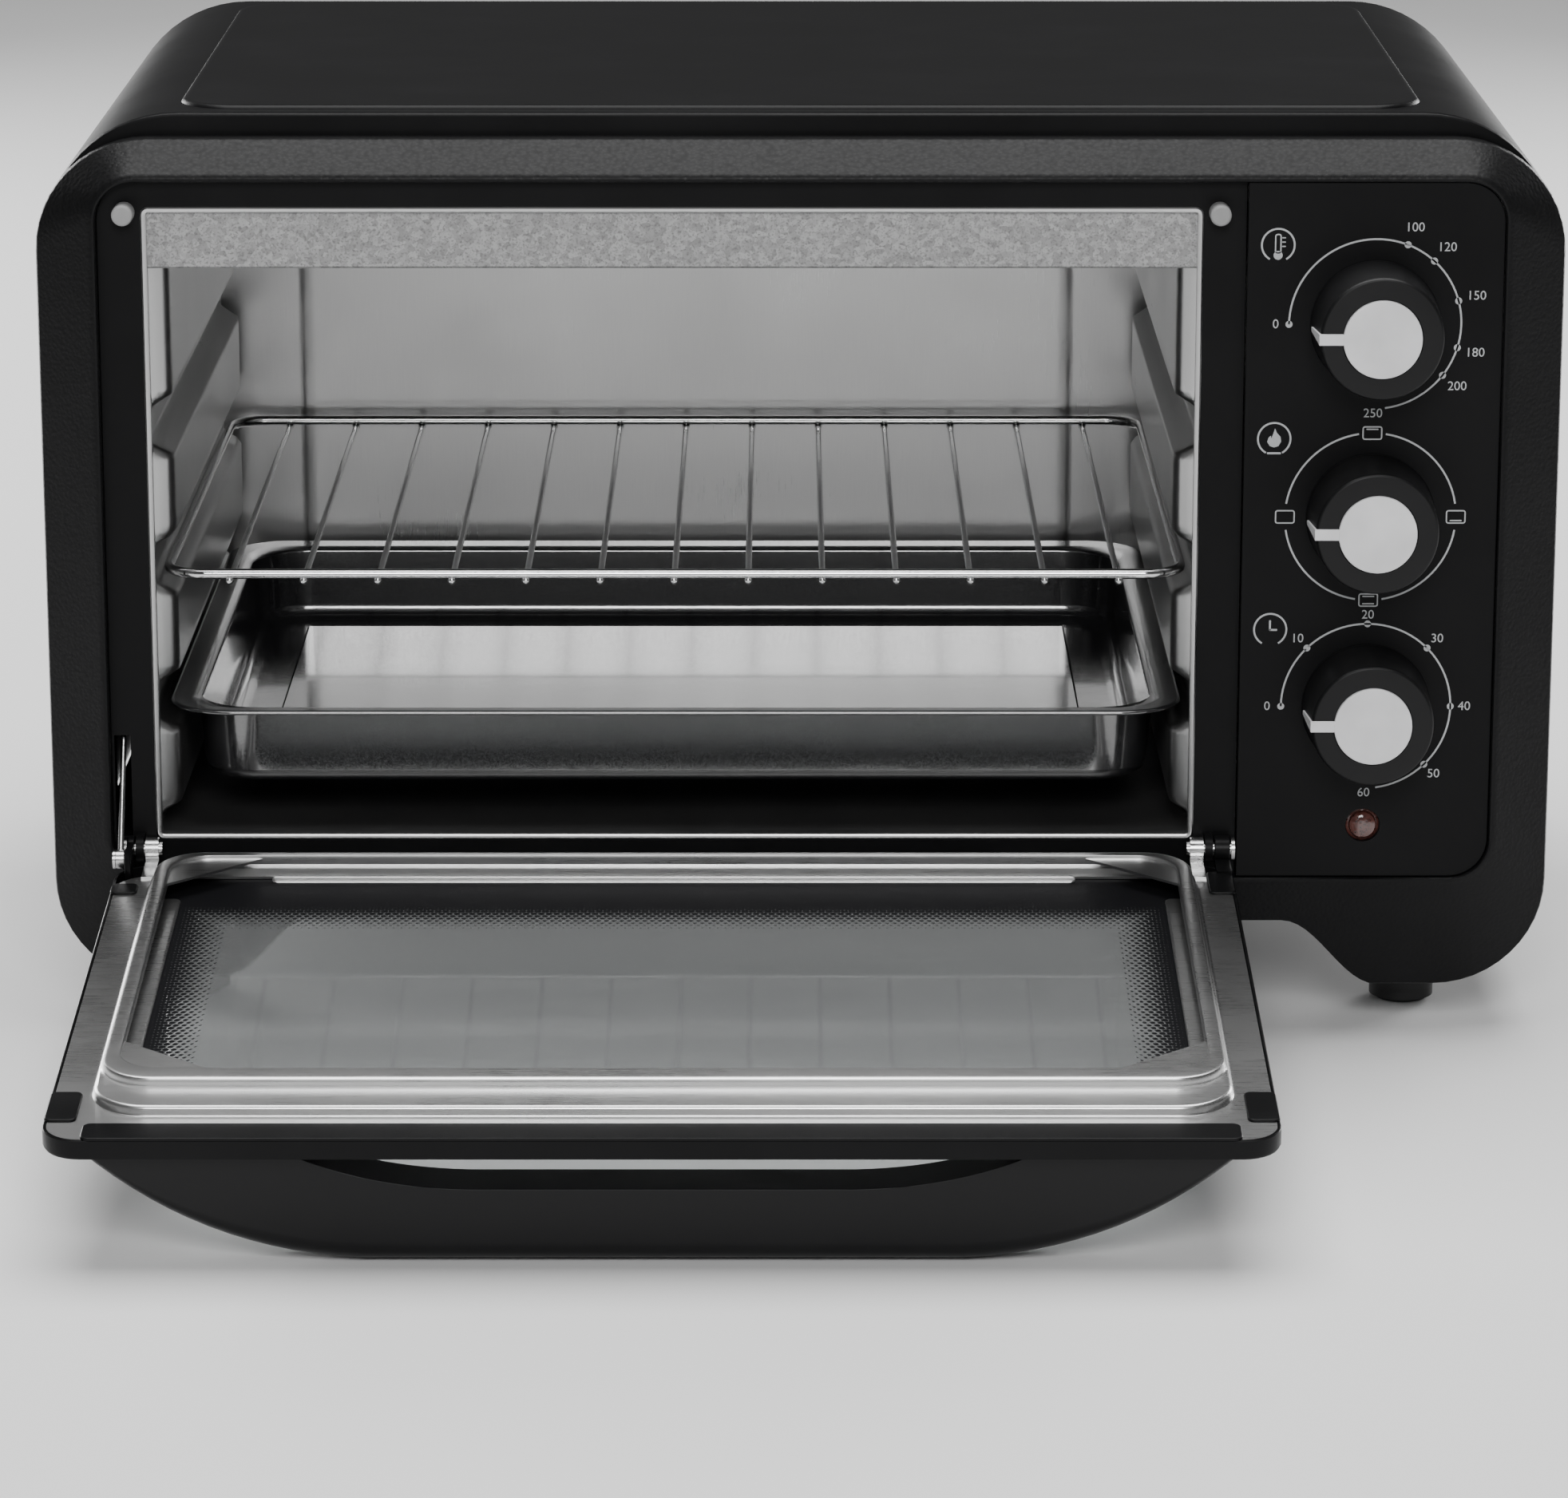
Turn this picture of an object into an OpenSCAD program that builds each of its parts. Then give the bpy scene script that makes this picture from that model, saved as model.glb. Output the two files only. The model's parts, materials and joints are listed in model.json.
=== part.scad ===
// Toaster oven with a drop-down glass door, three rotary controls, a wire rack and a baking tray.
// The origin is on the table, midway between the tip of the open door and the back.
// +X is to the right, +Y to the rear, +Z up.

/* [Body] */
// Overall width of the oven
body_w = 460; // [440:5:520]
// Depth from the crest of the front frame to the back panel
body_d = 270; // [255:5:330]
// Height of the front frame, without the gap under it
frame_h = 264; // [256:2:300]
// Gap between the table and the lowest part of the front frame
frame_lift = 14; // [8:1:20]
// Thickness of the cover, base and back sheets
sheet_t = 1; // [0.6:0.1:1.5]
// How far the cover stands above the top of the front frame
cover_rise = 7; // [3:0.5:10]
// Radius of the cover's upper corners
cover_r = 42; // [30:1:50]
// Height of the pressed panel on top of the cover
emboss_h = 1.2; // [0.5:0.1:2]

/* [Front frame] */
// Depth of the sloping face of the front frame
slope_d = 14; // [10:1:18]
// Depth of the straight collar behind the sloping face
collar_d = 6; // [4:1:8]
// Wall thickness of the front frame
frame_t = 2; // [1.5:0.1:3]
// Outer corner radius of the front frame
frame_r = 34; // [24:1:38]
// Width of the sloping face at each side
frame_side = 19.5; // [15:0.5:24]
// Height of the sloping face at the top
frame_top_band = 11; // [9:0.5:14]
// Height of the sloping face at the bottom
frame_skirt = 38; // [34:1:44]
// Corner radius of the recess
recess_r = 12; // [8:1:16]
// How far the cavity's front plate lies behind the frame's crest
recess_d = 5; // [4:0.5:8]
// Height of the arch between the front feet
arch_h = 23; // [15:1:26]
// Width of the flat top of the arch
arch_w = 296; // [260:2:310]
// Width of each curved flank of the arch
arch_flank = 31; // [24:1:36]

/* [Cavity] */
// Margin of the front plate round the cavity's mouth
plate_margin = 13; // [11:0.5:16]
// Height of the cavity floor above the bottom of the recess
floor_rise = 11; // [10:0.5:14]
// Height of the recess above the cavity roof
roof_drop = 8; // [6:0.5:12]
// Thickness of the cavity sheets
cavity_t = 0.8; // [0.6:0.1:1.2]
// How far the pressed panels of the side walls stand inwards
runner_d = 7; // [5:0.5:8]
// Height of each runner groove in the side walls
groove_h = 9; // [8:0.5:11]
// Corner radius of the cavity's mouth
mouth_r = 2.5; // [1:0.5:8]
// Height of the lowest runner groove above the cavity floor
first_groove = 41; // [38:1:46]
// Distance from one runner groove to the next
groove_pitch = 43; // [40:1:46]
// Height of the heat deflector at the top of the mouth
deflector_h = 19; // [14:1:24]
// Diameter of the heating tubes
element_d = 6.5; // [6:0.5:8]

/* [Door] */
// Diameter of the hinge pins
pin_d = 4; // [3:0.5:5]
// Gap between the door and the recess at each side
door_gap = 2; // [1.5:0.5:3]
// Depth of the door's black outer panel
door_t = 6; // [5.5:0.5:8]
// Height of the pressed frame on the inner pan
ridge_h = 6; // [4:0.5:7]
// Width of the pressed frame round the window
ridge_w = 6; // [5:0.5:8]
// Thickness of the door glass
glass_t = 4; // [3:0.5:4]
// Distance of the handle's ends from the sides of the door
handle_in = 9; // [6:0.5:20]
// Distance of the handle from the door's free edge
handle_out = 6; // [4:1:20]
// Depth of the finger gap between the door and the handle
grip_gap = 11; // [8:0.5:13]
// How far the handle stands off the door
handle_d = 34; // [28:1:38]
// Width of the handle along the door
handle_h = 14; // [12:1:16]
// Width of the chamfer along the handle's outer edge
handle_edge = 7; // [4:0.5:9]

/* [Controls] */
// Width of the control panel
panel_w = 77; // [70:1:84]
// Height of the top control below the top of the recess
dial_drop = 43; // [40:1:48]
// Height of the indicator lens above the bottom of the recess
lens_rise = 16.5; // [12:0.5:20]
// Height of the lowest control above the indicator lens
lens_drop = 37.5; // [34:0.5:42]
// Diameter of the knobs at the front
knob_d = 36.5; // [30:0.5:37]
// Diameter of the knobs at the panel
knob_base_d = 39; // [37.5:0.5:44]
// Length of the knobs
knob_h = 24; // [20:1:28]
// Diameter of the light caps on the knobs
cap_d = 23.5; // [18:0.5:26]
// Diameter of the control shafts
shaft_d = 6; // [5:0.5:7]
// Diameter of the indicator lens
lens_d = 10; // [8:0.5:12]

/* [Rack and tray] */
// Gap between the wire rack and each side wall
rack_gap = 2.5; // [2:0.5:4]
// Gap between the wire rack and the cavity's back
rack_back = 7.8; // [6.8:0.5:20]
// Diameter of the rack's frame rod
rod_d = 3.2; // [2.5:0.1:4]
// Diameter of the rack's thin rods
wire_d = 2; // [1.5:0.1:2.5]
// Number of thin rods
wires = 13; // [9:1:15]
// Gap between the baking tray's rim and each side wall
tray_gap = 3; // [2:0.5:4]
// Gap between the baking tray and the cavity's back
tray_back = 6.8; // [6.5:0.5:20]
// Height of the baking tray under its rim
tray_h = 24; // [16:1:28]
// Width of the tray's flat rim
rim_w = 8; // [6:0.5:10]

/* [Feet and cord inlet] */
// Diameter of the feet
foot_d = 26; // [20:1:30]
// Distance of the feet from each side
foot_in = 40; // [34:1:60]
// Bore of the cord bushing in the back panel
gland_bore = 7.5; // [6:0.5:9]

/* [Fits] */
// Radial gap of a shaft or pin that turns
running_gap = 0.06; // [0.03:0.01:0.1]
// Gap between fixed pieces that only lie close together
loose_gap = 0.3; // [0.2:0.05:0.5]
// Radial gap round a screw or a bushing in its hole
hole_gap = 0.2; // [0.1:0.05:0.4]

/* [Hidden] */
$fn = 64;
tiny = 0.01;
hull_fn = 32;

// Heights above the table
frame_top = frame_lift + frame_h;
cover_top = frame_top + cover_rise;
recess_z0 = frame_lift + frame_skirt;
recess_z1 = frame_top - frame_top_band;
floor_z = recess_z0 + floor_rise;
roof_z = recess_z1 - roof_drop;
cavity_h = roof_z - floor_z;
base_z = frame_lift + arch_h;
groove_z = [for (i = [0:2]) floor_z + first_groove + i * groove_pitch];

// Places across the width
recess_x = body_w / 2 - frame_side;
panel_x0 = recess_x - panel_w;
cavity_w = panel_x0 + recess_x - 2 * plate_margin;
cavity_x = panel_x0 - plate_margin - cavity_w / 2;
dial_x = (panel_x0 + recess_x) / 2;
lens_z = recess_z0 + lens_rise;
dial_pitch = (recess_z1 - dial_drop - lens_z - lens_drop) / 2;
dial_z = [for (i = [0:2]) recess_z1 - dial_drop - i * dial_pitch];

// Places along the depth, from the crest of the front frame
plate_y = recess_d;
plate_t = 1.2;
panel_y = 1.5;
panel_t = 1.5;
cavity_y0 = plate_y + plate_t;
cavity_y1 = body_d - 14;
cover_y = slope_d + collar_d;
wavy_y0 = cavity_y0 + 10;
wavy_y1 = cavity_y1 - 6;

// Door, in its own frame: s runs from the hinge to the free edge, n towards the oven when shut
hinge_in = 0.5;
hinge_z = floor_z - 1.8;
door_w = cavity_w + 2 * (plate_margin - door_gap);
door_len = frame_top - hinge_z - 0.8;
door_heel = 5;
pan_t = 0.8;
pan_n = -3.5;
outer_n = pan_n - door_t;
skin_t = 0.9;
hem_n = pan_n + pan_t;
hem_w = 11;
ridge_half = cavity_w / 2 - 0.8;
ridge_s0 = 7;
ridge_s1 = door_len - 30;
step_s1 = door_len - 17;
step_n = pan_n + ridge_h / 2;
ridge_n = pan_n + ridge_h;
window_half = ridge_half - ridge_w;
window_s0 = ridge_s0 + 5;
window_s1 = ridge_s1 - 8;
glass_half = ridge_half - 2;
glass_s1 = door_len - 27;
glass_n = outer_n + skin_t + 0.1;
handle_s1 = door_len - handle_out;
handle_s0 = handle_s1 - handle_h;
handle_n = outer_n - handle_d;
handle_w = door_w - 2 * handle_in;

// The open door rests on its handle, whose outer edge touches the table
foot_s = handle_s1 - handle_edge;
handle_reach = sqrt(foot_s * foot_s + handle_n * handle_n);
door_rest = asin(hinge_z / handle_reach) - atan2(-handle_n, foot_s);

// The open door and the cord bushing are the front and the back of the whole oven
bushing_out = 4;
door_tip = door_len * cos(door_rest) - hinge_in - 0.2;
front_y = (door_tip - body_d - bushing_out) / 2;

// Across the width on each side: knuckle, bracket, ear and pin head, with gaps between them
knuckle_x = door_w / 2 - 12.3;
knuckle_w = 4;
knuckle_d = pin_d + 3.2;
bracket_w = 2.4;
bracket_in = knuckle_x + knuckle_w + 0.5;
ear_in = bracket_in + bracket_w + 0.5;
ear_w = door_w / 2 - ear_in - 0.2;
link_ear_w = 2;
pin_end = door_w / 2 + loose_gap;
link_pin_end = ear_in + link_ear_w + loose_gap;

// Link that ties the door's left ear to its spring, and the slot it passes through
stud_x = -ear_in - link_ear_w;
stud_d = 3;
link_wire = 1.8;
eye_w = 2.4;
link_x = stud_x - loose_gap - eye_w / 2;
link_s = 9.4;
link_n = 0.2;
link_len = 50;
link_rise = 62;
slot_z0 = floor_z + 1;
slot_h = 32;
slot_w = 5;
spring_len = 54;
coil_y0 = link_len + 4;
stud_y = hinge_in - link_s * cos(door_rest) - link_n * sin(door_rest);
stud_z = hinge_z - link_s * sin(door_rest) + link_n * cos(door_rest);
post_y = stud_y + (link_len + spring_len) * cos(link_rise);
post_z = stud_z + (link_len + spring_len) * sin(link_rise);

// ---------------------------------------------------------------- helpers

// Moves what is drawn from the crest of the front frame to its place
module at_front() {
    translate([0, front_y, 0]) children();
}

// Moves what is drawn as x, -s, n to the open door
module in_door() {
    at_front() translate([cavity_x, hinge_in, hinge_z]) rotate([door_rest, 0, 0]) children();
}

// Rectangle with round corners, centred
module round_rect(w, h, r) {
    square([w - 2 * r, h], center = true);
    square([w, h - 2 * r], center = true);
    for (x = [-1, 1], y = [-1, 1]) translate([x * (w / 2 - r), y * (h / 2 - r)]) circle(r);
}

// Rectangle with round corners between two points
module round_span(x0, x1, y0, y1, r) {
    translate([(x0 + x1) / 2, (y0 + y1) / 2]) round_rect(x1 - x0, y1 - y0, r);
}

// A shape drawn in X and Z that stands at y and is t thick towards the rear
module wall_xz(y, t) {
    translate([0, y + t, 0]) rotate([90, 0, 0]) linear_extrude(t) children();
}

// A shape drawn in Y and Z that stands at x and is t thick towards +X
module wall_yz(x, t) {
    translate([x, 0, 0]) rotate([90, 0, 90]) linear_extrude(t) children();
}

// A shape drawn in X and Y that lies at z and is t thick upwards
module slab(z, t) {
    translate([0, 0, z]) linear_extrude(t) children();
}

// Cylinders along X and Y
module rod_x(x, y, z, d, l) {
    translate([x, y, z]) rotate([0, 90, 0]) cylinder(d = d, h = l);
}
module rod_y(x, y, z, d, l) {
    translate([x, y + l, z]) rotate([90, 0, 0]) cylinder(d = d, h = l);
}

// Both sides of the door, about the middle of the cavity
module both_sides() {
    children();
    mirror([1, 0, 0]) children();
}

// A row of vent slots, drawn flat
module slots(count, pitch, w, h) {
    for (i = [0:count - 1]) translate([(i - (count - 1) / 2) * pitch, 0]) round_rect(w, h, w / 2 - tiny);
}

// ---------------------------------------------------------------- front frame and casing

function arch_edge(grow) = [for (i = [0:8])
    let (t = i / 8)
    [arch_w / 2 + grow + arch_flank * (1 - t), frame_lift + (arch_h + grow) * (1 - cos(180 * t)) / 2]];

module arch(grow = 0) {
    low = frame_lift - 1 - grow;
    edge = arch_edge(grow);
    reach = edge[0][0];
    polygon(concat([[reach, low]], edge, [for (i = [8:-1:0]) [-edge[i][0], edge[i][1]]], [[-reach, low]]));
}

module frame_outline(inset = 0) {
    round_span(-body_w / 2 + inset, body_w / 2 - inset, frame_lift + inset, frame_top - inset,
        frame_r - inset);
}

module recess_outline(grow = 0) {
    round_span(-recess_x - grow, recess_x + grow, recess_z0 - grow, recess_z1 + grow, recess_r + grow);
}

// The sloping face as a block, or the hollow behind it
module slope_block(inset, $fn = hull_fn) {
    hull() {
        wall_xz(inset, tiny) recess_outline(1);
        wall_xz(slope_d + inset - tiny, tiny) frame_outline(inset);
    }
}

module front_frame() {
    color("#202020") at_front() difference() {
        union() {
            slope_block(0);
            wall_xz(slope_d - tiny, collar_d + tiny) frame_outline();
        }
        difference() {
            union() {
                slope_block(frame_t);
                wall_xz(slope_d, collar_d + 1) frame_outline(frame_t);
            }
            wall_xz(-1, cover_y + 1) recess_outline(frame_t);
            wall_xz(-1, cover_y + 3) arch(frame_t);
        }
        wall_xz(-1, cover_y + 3) recess_outline();
        wall_xz(-1, cover_y + 3) arch();
    }
}

module cover_outline(inset = 0) {
    half = body_w / 2 - 1 - inset;
    round_span(-half, half, base_z - cover_r - 2, cover_top - inset, cover_r - inset);
}

// The cover's outline above the base plate
module cover_area(inset = 0) {
    intersection() {
        cover_outline(inset);
        translate([-body_w / 2, base_z]) square([body_w, cover_top]);
    }
}

emboss_x = body_w / 2 - 42;

module outer_cover() {
    flange = 9;
    color("#262626") at_front() difference() {
        union() {
            difference() {
                wall_xz(cover_y, body_d - cover_y) cover_area();
                wall_xz(cover_y + sheet_t, body_d - cover_y - 2 * sheet_t) cover_area(sheet_t);
                wall_xz(cover_y - 1, sheet_t + 2) frame_outline(frame_t);
                wall_xz(body_d - 2 * sheet_t - 1, 3 * sheet_t + 2) cover_area(flange);
                wall_xz(body_d - sheet_t, sheet_t + 1) cover_area(sheet_t);
                translate([-body_w / 2 + 3, cover_y - 1, base_z - 1])
                    cube([body_w - 6, body_d, 1 + sheet_t + loose_gap]);
            }
            slab(cover_top - tiny, emboss_h + tiny)
                round_span(-emboss_x, emboss_x, cover_y + 6, body_d - 12, 18);
        }
        slab(cover_top - sheet_t - tiny, emboss_h)
            round_span(-emboss_x + 1, emboss_x - 1, cover_y + 7, body_d - 13, 17);
        for (side = [-1, 1], row = [0:1])
            wall_yz(side * body_w / 2 - 5, 10)
                translate([body_d * 0.62, cover_top - 78 - row * 64]) slots(9, 9, 3, 46);
        screw_holes(body_d - 2 * sheet_t - 1, 4);
    }
}

// Six screws fasten the back panel to the cover's rear flange
back_screw_r = 1.6;
screw_x = body_w / 2 - 6;
screw_places = [
    for (x = [-1, 1], z = [base_z + 12, (base_z + cover_top) / 2 - 10]) [x * screw_x, z],
    for (x = [-1, 1]) [x * (body_w / 2 - cover_r - 20), cover_top - 5]
];

module screw_holes(y, l) {
    for (p = screw_places) rod_y(p[0], y, p[1], 2 * (back_screw_r + hole_gap), l);
}

gland_x = body_w / 2 - 48;
gland_z = base_z + 30;

module back_panel() {
    color("#8a8a8a") at_front() difference() {
        wall_xz(body_d - sheet_t, sheet_t) cover_area(sheet_t + loose_gap / 2);
        screw_holes(body_d - 3, 6);
        rod_y(gland_x, body_d - 3, gland_z, gland_bore + 5 + 2 * hole_gap, 6);
        for (row = [0:1]) wall_xz(body_d - 3, 6)
            translate([0, cover_top - 50 - row * 60]) slots(24, 13, 4, 40);
    }
}

module back_screws() {
    color("silver") at_front() for (p = screw_places) {
        rod_y(p[0], body_d - 7, p[1], 2 * back_screw_r, 7);
        rod_y(p[0], body_d, p[1], 6.5, 1.6);
    }
}

foot_y = [cover_y + 28, body_d - 30];
foot_x = body_w / 2 - foot_in;
foot_bolt_r = 2;

module each_foot() {
    for (x = [-foot_x, foot_x], y = foot_y) translate([x, y, 0]) children();
}

module base_plate() {
    color("#707070") at_front() difference() {
        union() {
            slab(base_z, sheet_t) translate([-body_w / 2 + 3 + loose_gap, cover_y + loose_gap])
                square([body_w - 6 - 2 * loose_gap, body_d - cover_y - 2 * sheet_t - 2 * loose_gap]);
            wall_xz(cover_y + loose_gap, sheet_t) translate([-body_w / 2 + 6, base_z])
                square([body_w - 12, 10]);
        }
        each_foot() translate([0, 0, base_z - 1]) cylinder(r = foot_bolt_r + hole_gap, h = 4);
        for (y = [0.4, 0.62]) slab(base_z - 1, 4)
            translate([cavity_x, body_d * y]) slots(16, 16, 5, 34);
    }
}

pad_h = 3;

module feet() {
    color("#181818") at_front() each_foot() difference() {
        rotate_extrude() polygon([
            [0, 1.2], [foot_d / 2 - 3, 1.2], [foot_d / 2 - 3, 4], [foot_d / 2, base_z - 6],
            [foot_d / 2, base_z], [0, base_z]
        ]);
        translate([0, 0, 0.5]) cylinder(d = foot_d - 10, h = pad_h - 0.5);
        cylinder(r = foot_bolt_r + hole_gap, h = base_z + 1);
    }
}

module foot_pads() {
    color("#303030") at_front() each_foot() difference() {
        cylinder(d = foot_d - 10, h = pad_h);
        translate([0, 0, -1]) cylinder(r = 4.5, h = pad_h + 2);
    }
}

module foot_screws() {
    color("silver") at_front() each_foot() translate([0, 0, pad_h]) {
        cylinder(r = foot_bolt_r, h = base_z + 3);
        translate([0, 0, -1.6]) cylinder(r = 4, h = 1.6);
    }
}

// ---------------------------------------------------------------- cavity

module front_plate() {
    color("#141414") at_front() difference() {
        wall_xz(plate_y, plate_t) intersection() {
            recess_outline(-loose_gap / 2);
            translate([-body_w / 2, 0]) square([body_w / 2 + panel_x0 - loose_gap, frame_top]);
        }
        wall_xz(plate_y - 1, plate_t + 2)
            round_span(cavity_x - cavity_w / 2, cavity_x + cavity_w / 2, floor_z, roof_z, mouth_r);
        wall_xz(plate_y - 1, plate_t + 2)
            translate([cavity_x + link_x - slot_w / 2, slot_z0]) square([slot_w, slot_h]);
    }
}

// How far the side wall stands inwards at height z: full between the grooves, nothing in them
groove_edge = 5;
function notch(gap) = gap < groove_h / 2 ? 1
    : gap < groove_h / 2 + groove_edge ? (1 + cos(180 * (gap - groove_h / 2) / groove_edge)) / 2 : 0;
function bulge(z) = runner_d
    * (1 - max([for (g = groove_z) notch(abs(z - g))]))
    * (1 - notch(z - floor_z + groove_h / 2 - 4)) * (1 - notch(roof_z - z + groove_h / 2 - 4));

wave_steps = 80;
wave = [for (i = [0:wave_steps]) let (z = floor_z + cavity_h * i / wave_steps) [bulge(z), z]];

module wavy_sheet() {
    polygon(concat(wave, [for (i = [wave_steps:-1:0]) [wave[i][0] - cavity_t, wave[i][1]]]));
}

module wavy_fill() {
    polygon(concat(wave, [[-cavity_t, roof_z], [-cavity_t, floor_z]]));
}

tube_holes_y = [cavity_y0 + 60, cavity_y0 + 170];
upper_tube_z = roof_z - 12;
lower_tube_z = floor_z - 13;
insulator_d = 11;

// One side wall, standing with its plain face at x = 0 and its panels towards +X
module side_wall() {
    wall_yz(-cavity_t, cavity_t) translate([cavity_y0, floor_z]) square([wavy_y0 - cavity_y0, cavity_h]);
    wall_yz(-cavity_t, cavity_t) translate([wavy_y1, floor_z]) square([cavity_y1 - wavy_y1, cavity_h]);
    wall_xz(wavy_y0, wavy_y1 - wavy_y0) wavy_sheet();
    for (y = [wavy_y0, wavy_y1 - cavity_t]) wall_xz(y, cavity_t) wavy_fill();
}

module cavity_left_wall() {
    color("#b5b5b5") at_front() translate([cavity_x - cavity_w / 2, 0, 0]) side_wall();
}

module cavity_right_wall() {
    color("#b5b5b5") at_front() difference() {
        translate([cavity_x + cavity_w / 2, 0, 0]) mirror([1, 0, 0]) side_wall();
        for (y = tube_holes_y)
            rod_x(cavity_x + cavity_w / 2 - 10, y, upper_tube_z, insulator_d + 2 * hole_gap, 12);
    }
}

module cavity_back() {
    half = cavity_w / 2 + cavity_t;
    color("#b0b0b0") at_front() union() {
        wall_xz(cavity_y1, cavity_t) translate([cavity_x - half, floor_z - cavity_t])
            square([2 * half, cavity_h + 2 * cavity_t]);
        wall_xz(cavity_y1 - 1, 1 + tiny)
            round_span(cavity_x - half + 30, cavity_x + half - 30, floor_z + 28, roof_z - 28, 14);
    }
}

module cavity_roof() {
    color("#a8a8a8") at_front() translate([cavity_x - cavity_w / 2 - cavity_t, cavity_y0, roof_z])
        cube([cavity_w + 2 * cavity_t, cavity_y1 - cavity_y0, cavity_t]);
}

module cavity_floor() {
    color("#505050") at_front() translate([cavity_x - cavity_w / 2 - cavity_t, cavity_y0, floor_z - cavity_t])
        cube([cavity_w + 2 * cavity_t, cavity_y1 - cavity_y0, cavity_t]);
}

module cavity_rivets() {
    color("silver") at_front() for (side = [0, 1]) translate([cavity_x, 0, 0]) mirror([side, 0, 0])
        for (z = [6, 14, 32, 51, 140]) rod_x(-cavity_w / 2, cavity_y0 + 4.5, floor_z + z, 4, 1.2);
}

module heat_deflector() {
    x0 = cavity_x - cavity_w / 2 + loose_gap;
    w = cavity_w - 2 * loose_gap;
    color("#9a9a9a") at_front() union() {
        translate([x0, cavity_y0 + loose_gap, roof_z - deflector_h]) cube([w, 0.8, deflector_h]);
        translate([x0, cavity_y0 + loose_gap, roof_z - deflector_h]) cube([w, 7, 0.8]);
    }
}

// A heating tube: two straight legs joined by a half turn, its ends beyond the right wall
module heating_tube(z, x_end) {
    span = tube_holes_y[1] - tube_holes_y[0];
    bend = span / 2;
    bend_x = cavity_x - cavity_w / 2 + 24 + bend;
    for (y = tube_holes_y) rod_x(bend_x, y, z, element_d, x_end - bend_x);
    translate([bend_x, tube_holes_y[0] + bend, z]) rotate([0, 0, 90])
        rotate_extrude(angle = 180) translate([bend, 0]) circle(d = element_d);
}

element_x1 = panel_x0 + 8;

module upper_element() {
    color("#3c3c3c") at_front() heating_tube(upper_tube_z, element_x1);
}

module lower_element() {
    color("#3c3c3c") at_front() heating_tube(lower_tube_z, element_x1);
}

bracket_x = cavity_x + cavity_w / 2 + 5;

module element_insulators() {
    color("ivory") at_front() for (y = tube_holes_y) {
        difference() {
            rod_x(cavity_x + cavity_w / 2 - 8, y, upper_tube_z, insulator_d, 12);
            rod_x(cavity_x + cavity_w / 2 - 9, y, upper_tube_z, element_d + 2 * hole_gap, 14);
        }
        difference() {
            rod_x(bracket_x - 2, y, lower_tube_z, insulator_d, 8);
            rod_x(bracket_x - 3, y, lower_tube_z, element_d + 2 * hole_gap, 10);
        }
    }
}

module element_bracket() {
    z0 = base_z + sheet_t;
    h = lower_tube_z + 9 - z0;
    color("#a0a0a0") at_front() difference() {
        union() {
            translate([bracket_x, tube_holes_y[0] - 14, z0])
                cube([1, tube_holes_y[1] - tube_holes_y[0] + 28, h]);
            translate([bracket_x, tube_holes_y[0] - 14, z0])
                cube([14, tube_holes_y[1] - tube_holes_y[0] + 28, 1]);
        }
        for (y = tube_holes_y) rod_x(bracket_x - 1, y, lower_tube_z, insulator_d + 2 * hole_gap, 3);
    }
}

// ---------------------------------------------------------------- controls

bush_d = 10;

module control_panel() {
    color("#161616") at_front() difference() {
        union() {
            wall_xz(panel_y, panel_t) intersection() {
                recess_outline(-loose_gap / 2);
                translate([panel_x0, 0]) square([body_w, frame_top]);
            }
            translate([panel_x0, panel_y, recess_z0 + loose_gap])
                cube([1, plate_y + plate_t - panel_y, recess_z1 - recess_z0 - 2 * loose_gap]);
        }
        for (z = dial_z) rod_y(dial_x, 0, z, bush_d + 2 * hole_gap, 8);
        rod_y(dial_x, 0, lens_z, lens_d + 2 * hole_gap, 8);
    }
}

// Bush and blind bore of a control, which its shaft turns in
bore_y1 = 17;
device_y = panel_y + panel_t + 1.5;

module device_bush(z) {
    rod_y(dial_x, panel_y - 0.6, z, bush_d, device_y - panel_y + 1);
}

module shaft_bore(z) {
    rod_y(dial_x, panel_y - 2, z, shaft_d + 2 * running_gap, bore_y1 + 2 - panel_y);
}

module thermostat() {
    z = dial_z[0];
    color("#c8c0a8") at_front() difference() {
        union() {
            device_bush(z);
            rod_y(dial_x, device_y, z, 40, 16);
            translate([dial_x - 24, device_y, z - 9]) cube([48, 22, 18]);
        }
        shaft_bore(z);
    }
}

module function_switch() {
    z = dial_z[1];
    color("#5a4a3a") at_front() difference() {
        union() {
            device_bush(z);
            translate([dial_x - 18, device_y, z - 18]) cube([36, 26, 36]);
            for (i = [-1:1]) translate([dial_x - 3 + i * 11, device_y + 26, z - 8]) cube([6, 8, 0.8]);
        }
        shaft_bore(z);
    }
}

module timer() {
    z = dial_z[2];
    color("#b0a070") at_front() difference() {
        union() {
            device_bush(z);
            translate([dial_x - 21, device_y, z - 24]) cube([42, 22, 48]);
        }
        shaft_bore(z);
    }
}

module timer_bell() {
    z = dial_z[2];
    y = device_y + 22;
    color("silver") at_front() union() {
        rod_y(dial_x, y, z, 5, 9);
        translate([dial_x, y + 9, z]) rotate([-90, 0, 0]) rotate_extrude() difference() {
            intersection() {
                translate([0, -6]) circle(18);
                square([20, 12]);
            }
            intersection() {
                translate([0, -6]) circle(17);
                square([20, 20]);
            }
        }
        rod_y(dial_x, y + 8, z, 8, 3.5);
    }
}

knob_y = -knob_h + 0.8;
shaft_front = knob_y + 5;

module control_shaft(i) {
    color("silver") at_front() difference() {
        rod_y(dial_x, shaft_front, dial_z[i], shaft_d, bore_y1 - 1 - shaft_front);
        translate([dial_x + shaft_d / 2 - 1, shaft_front - 1, dial_z[i] - shaft_d])
            cube([shaft_d, 14, 2 * shaft_d]);
    }
}

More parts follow.
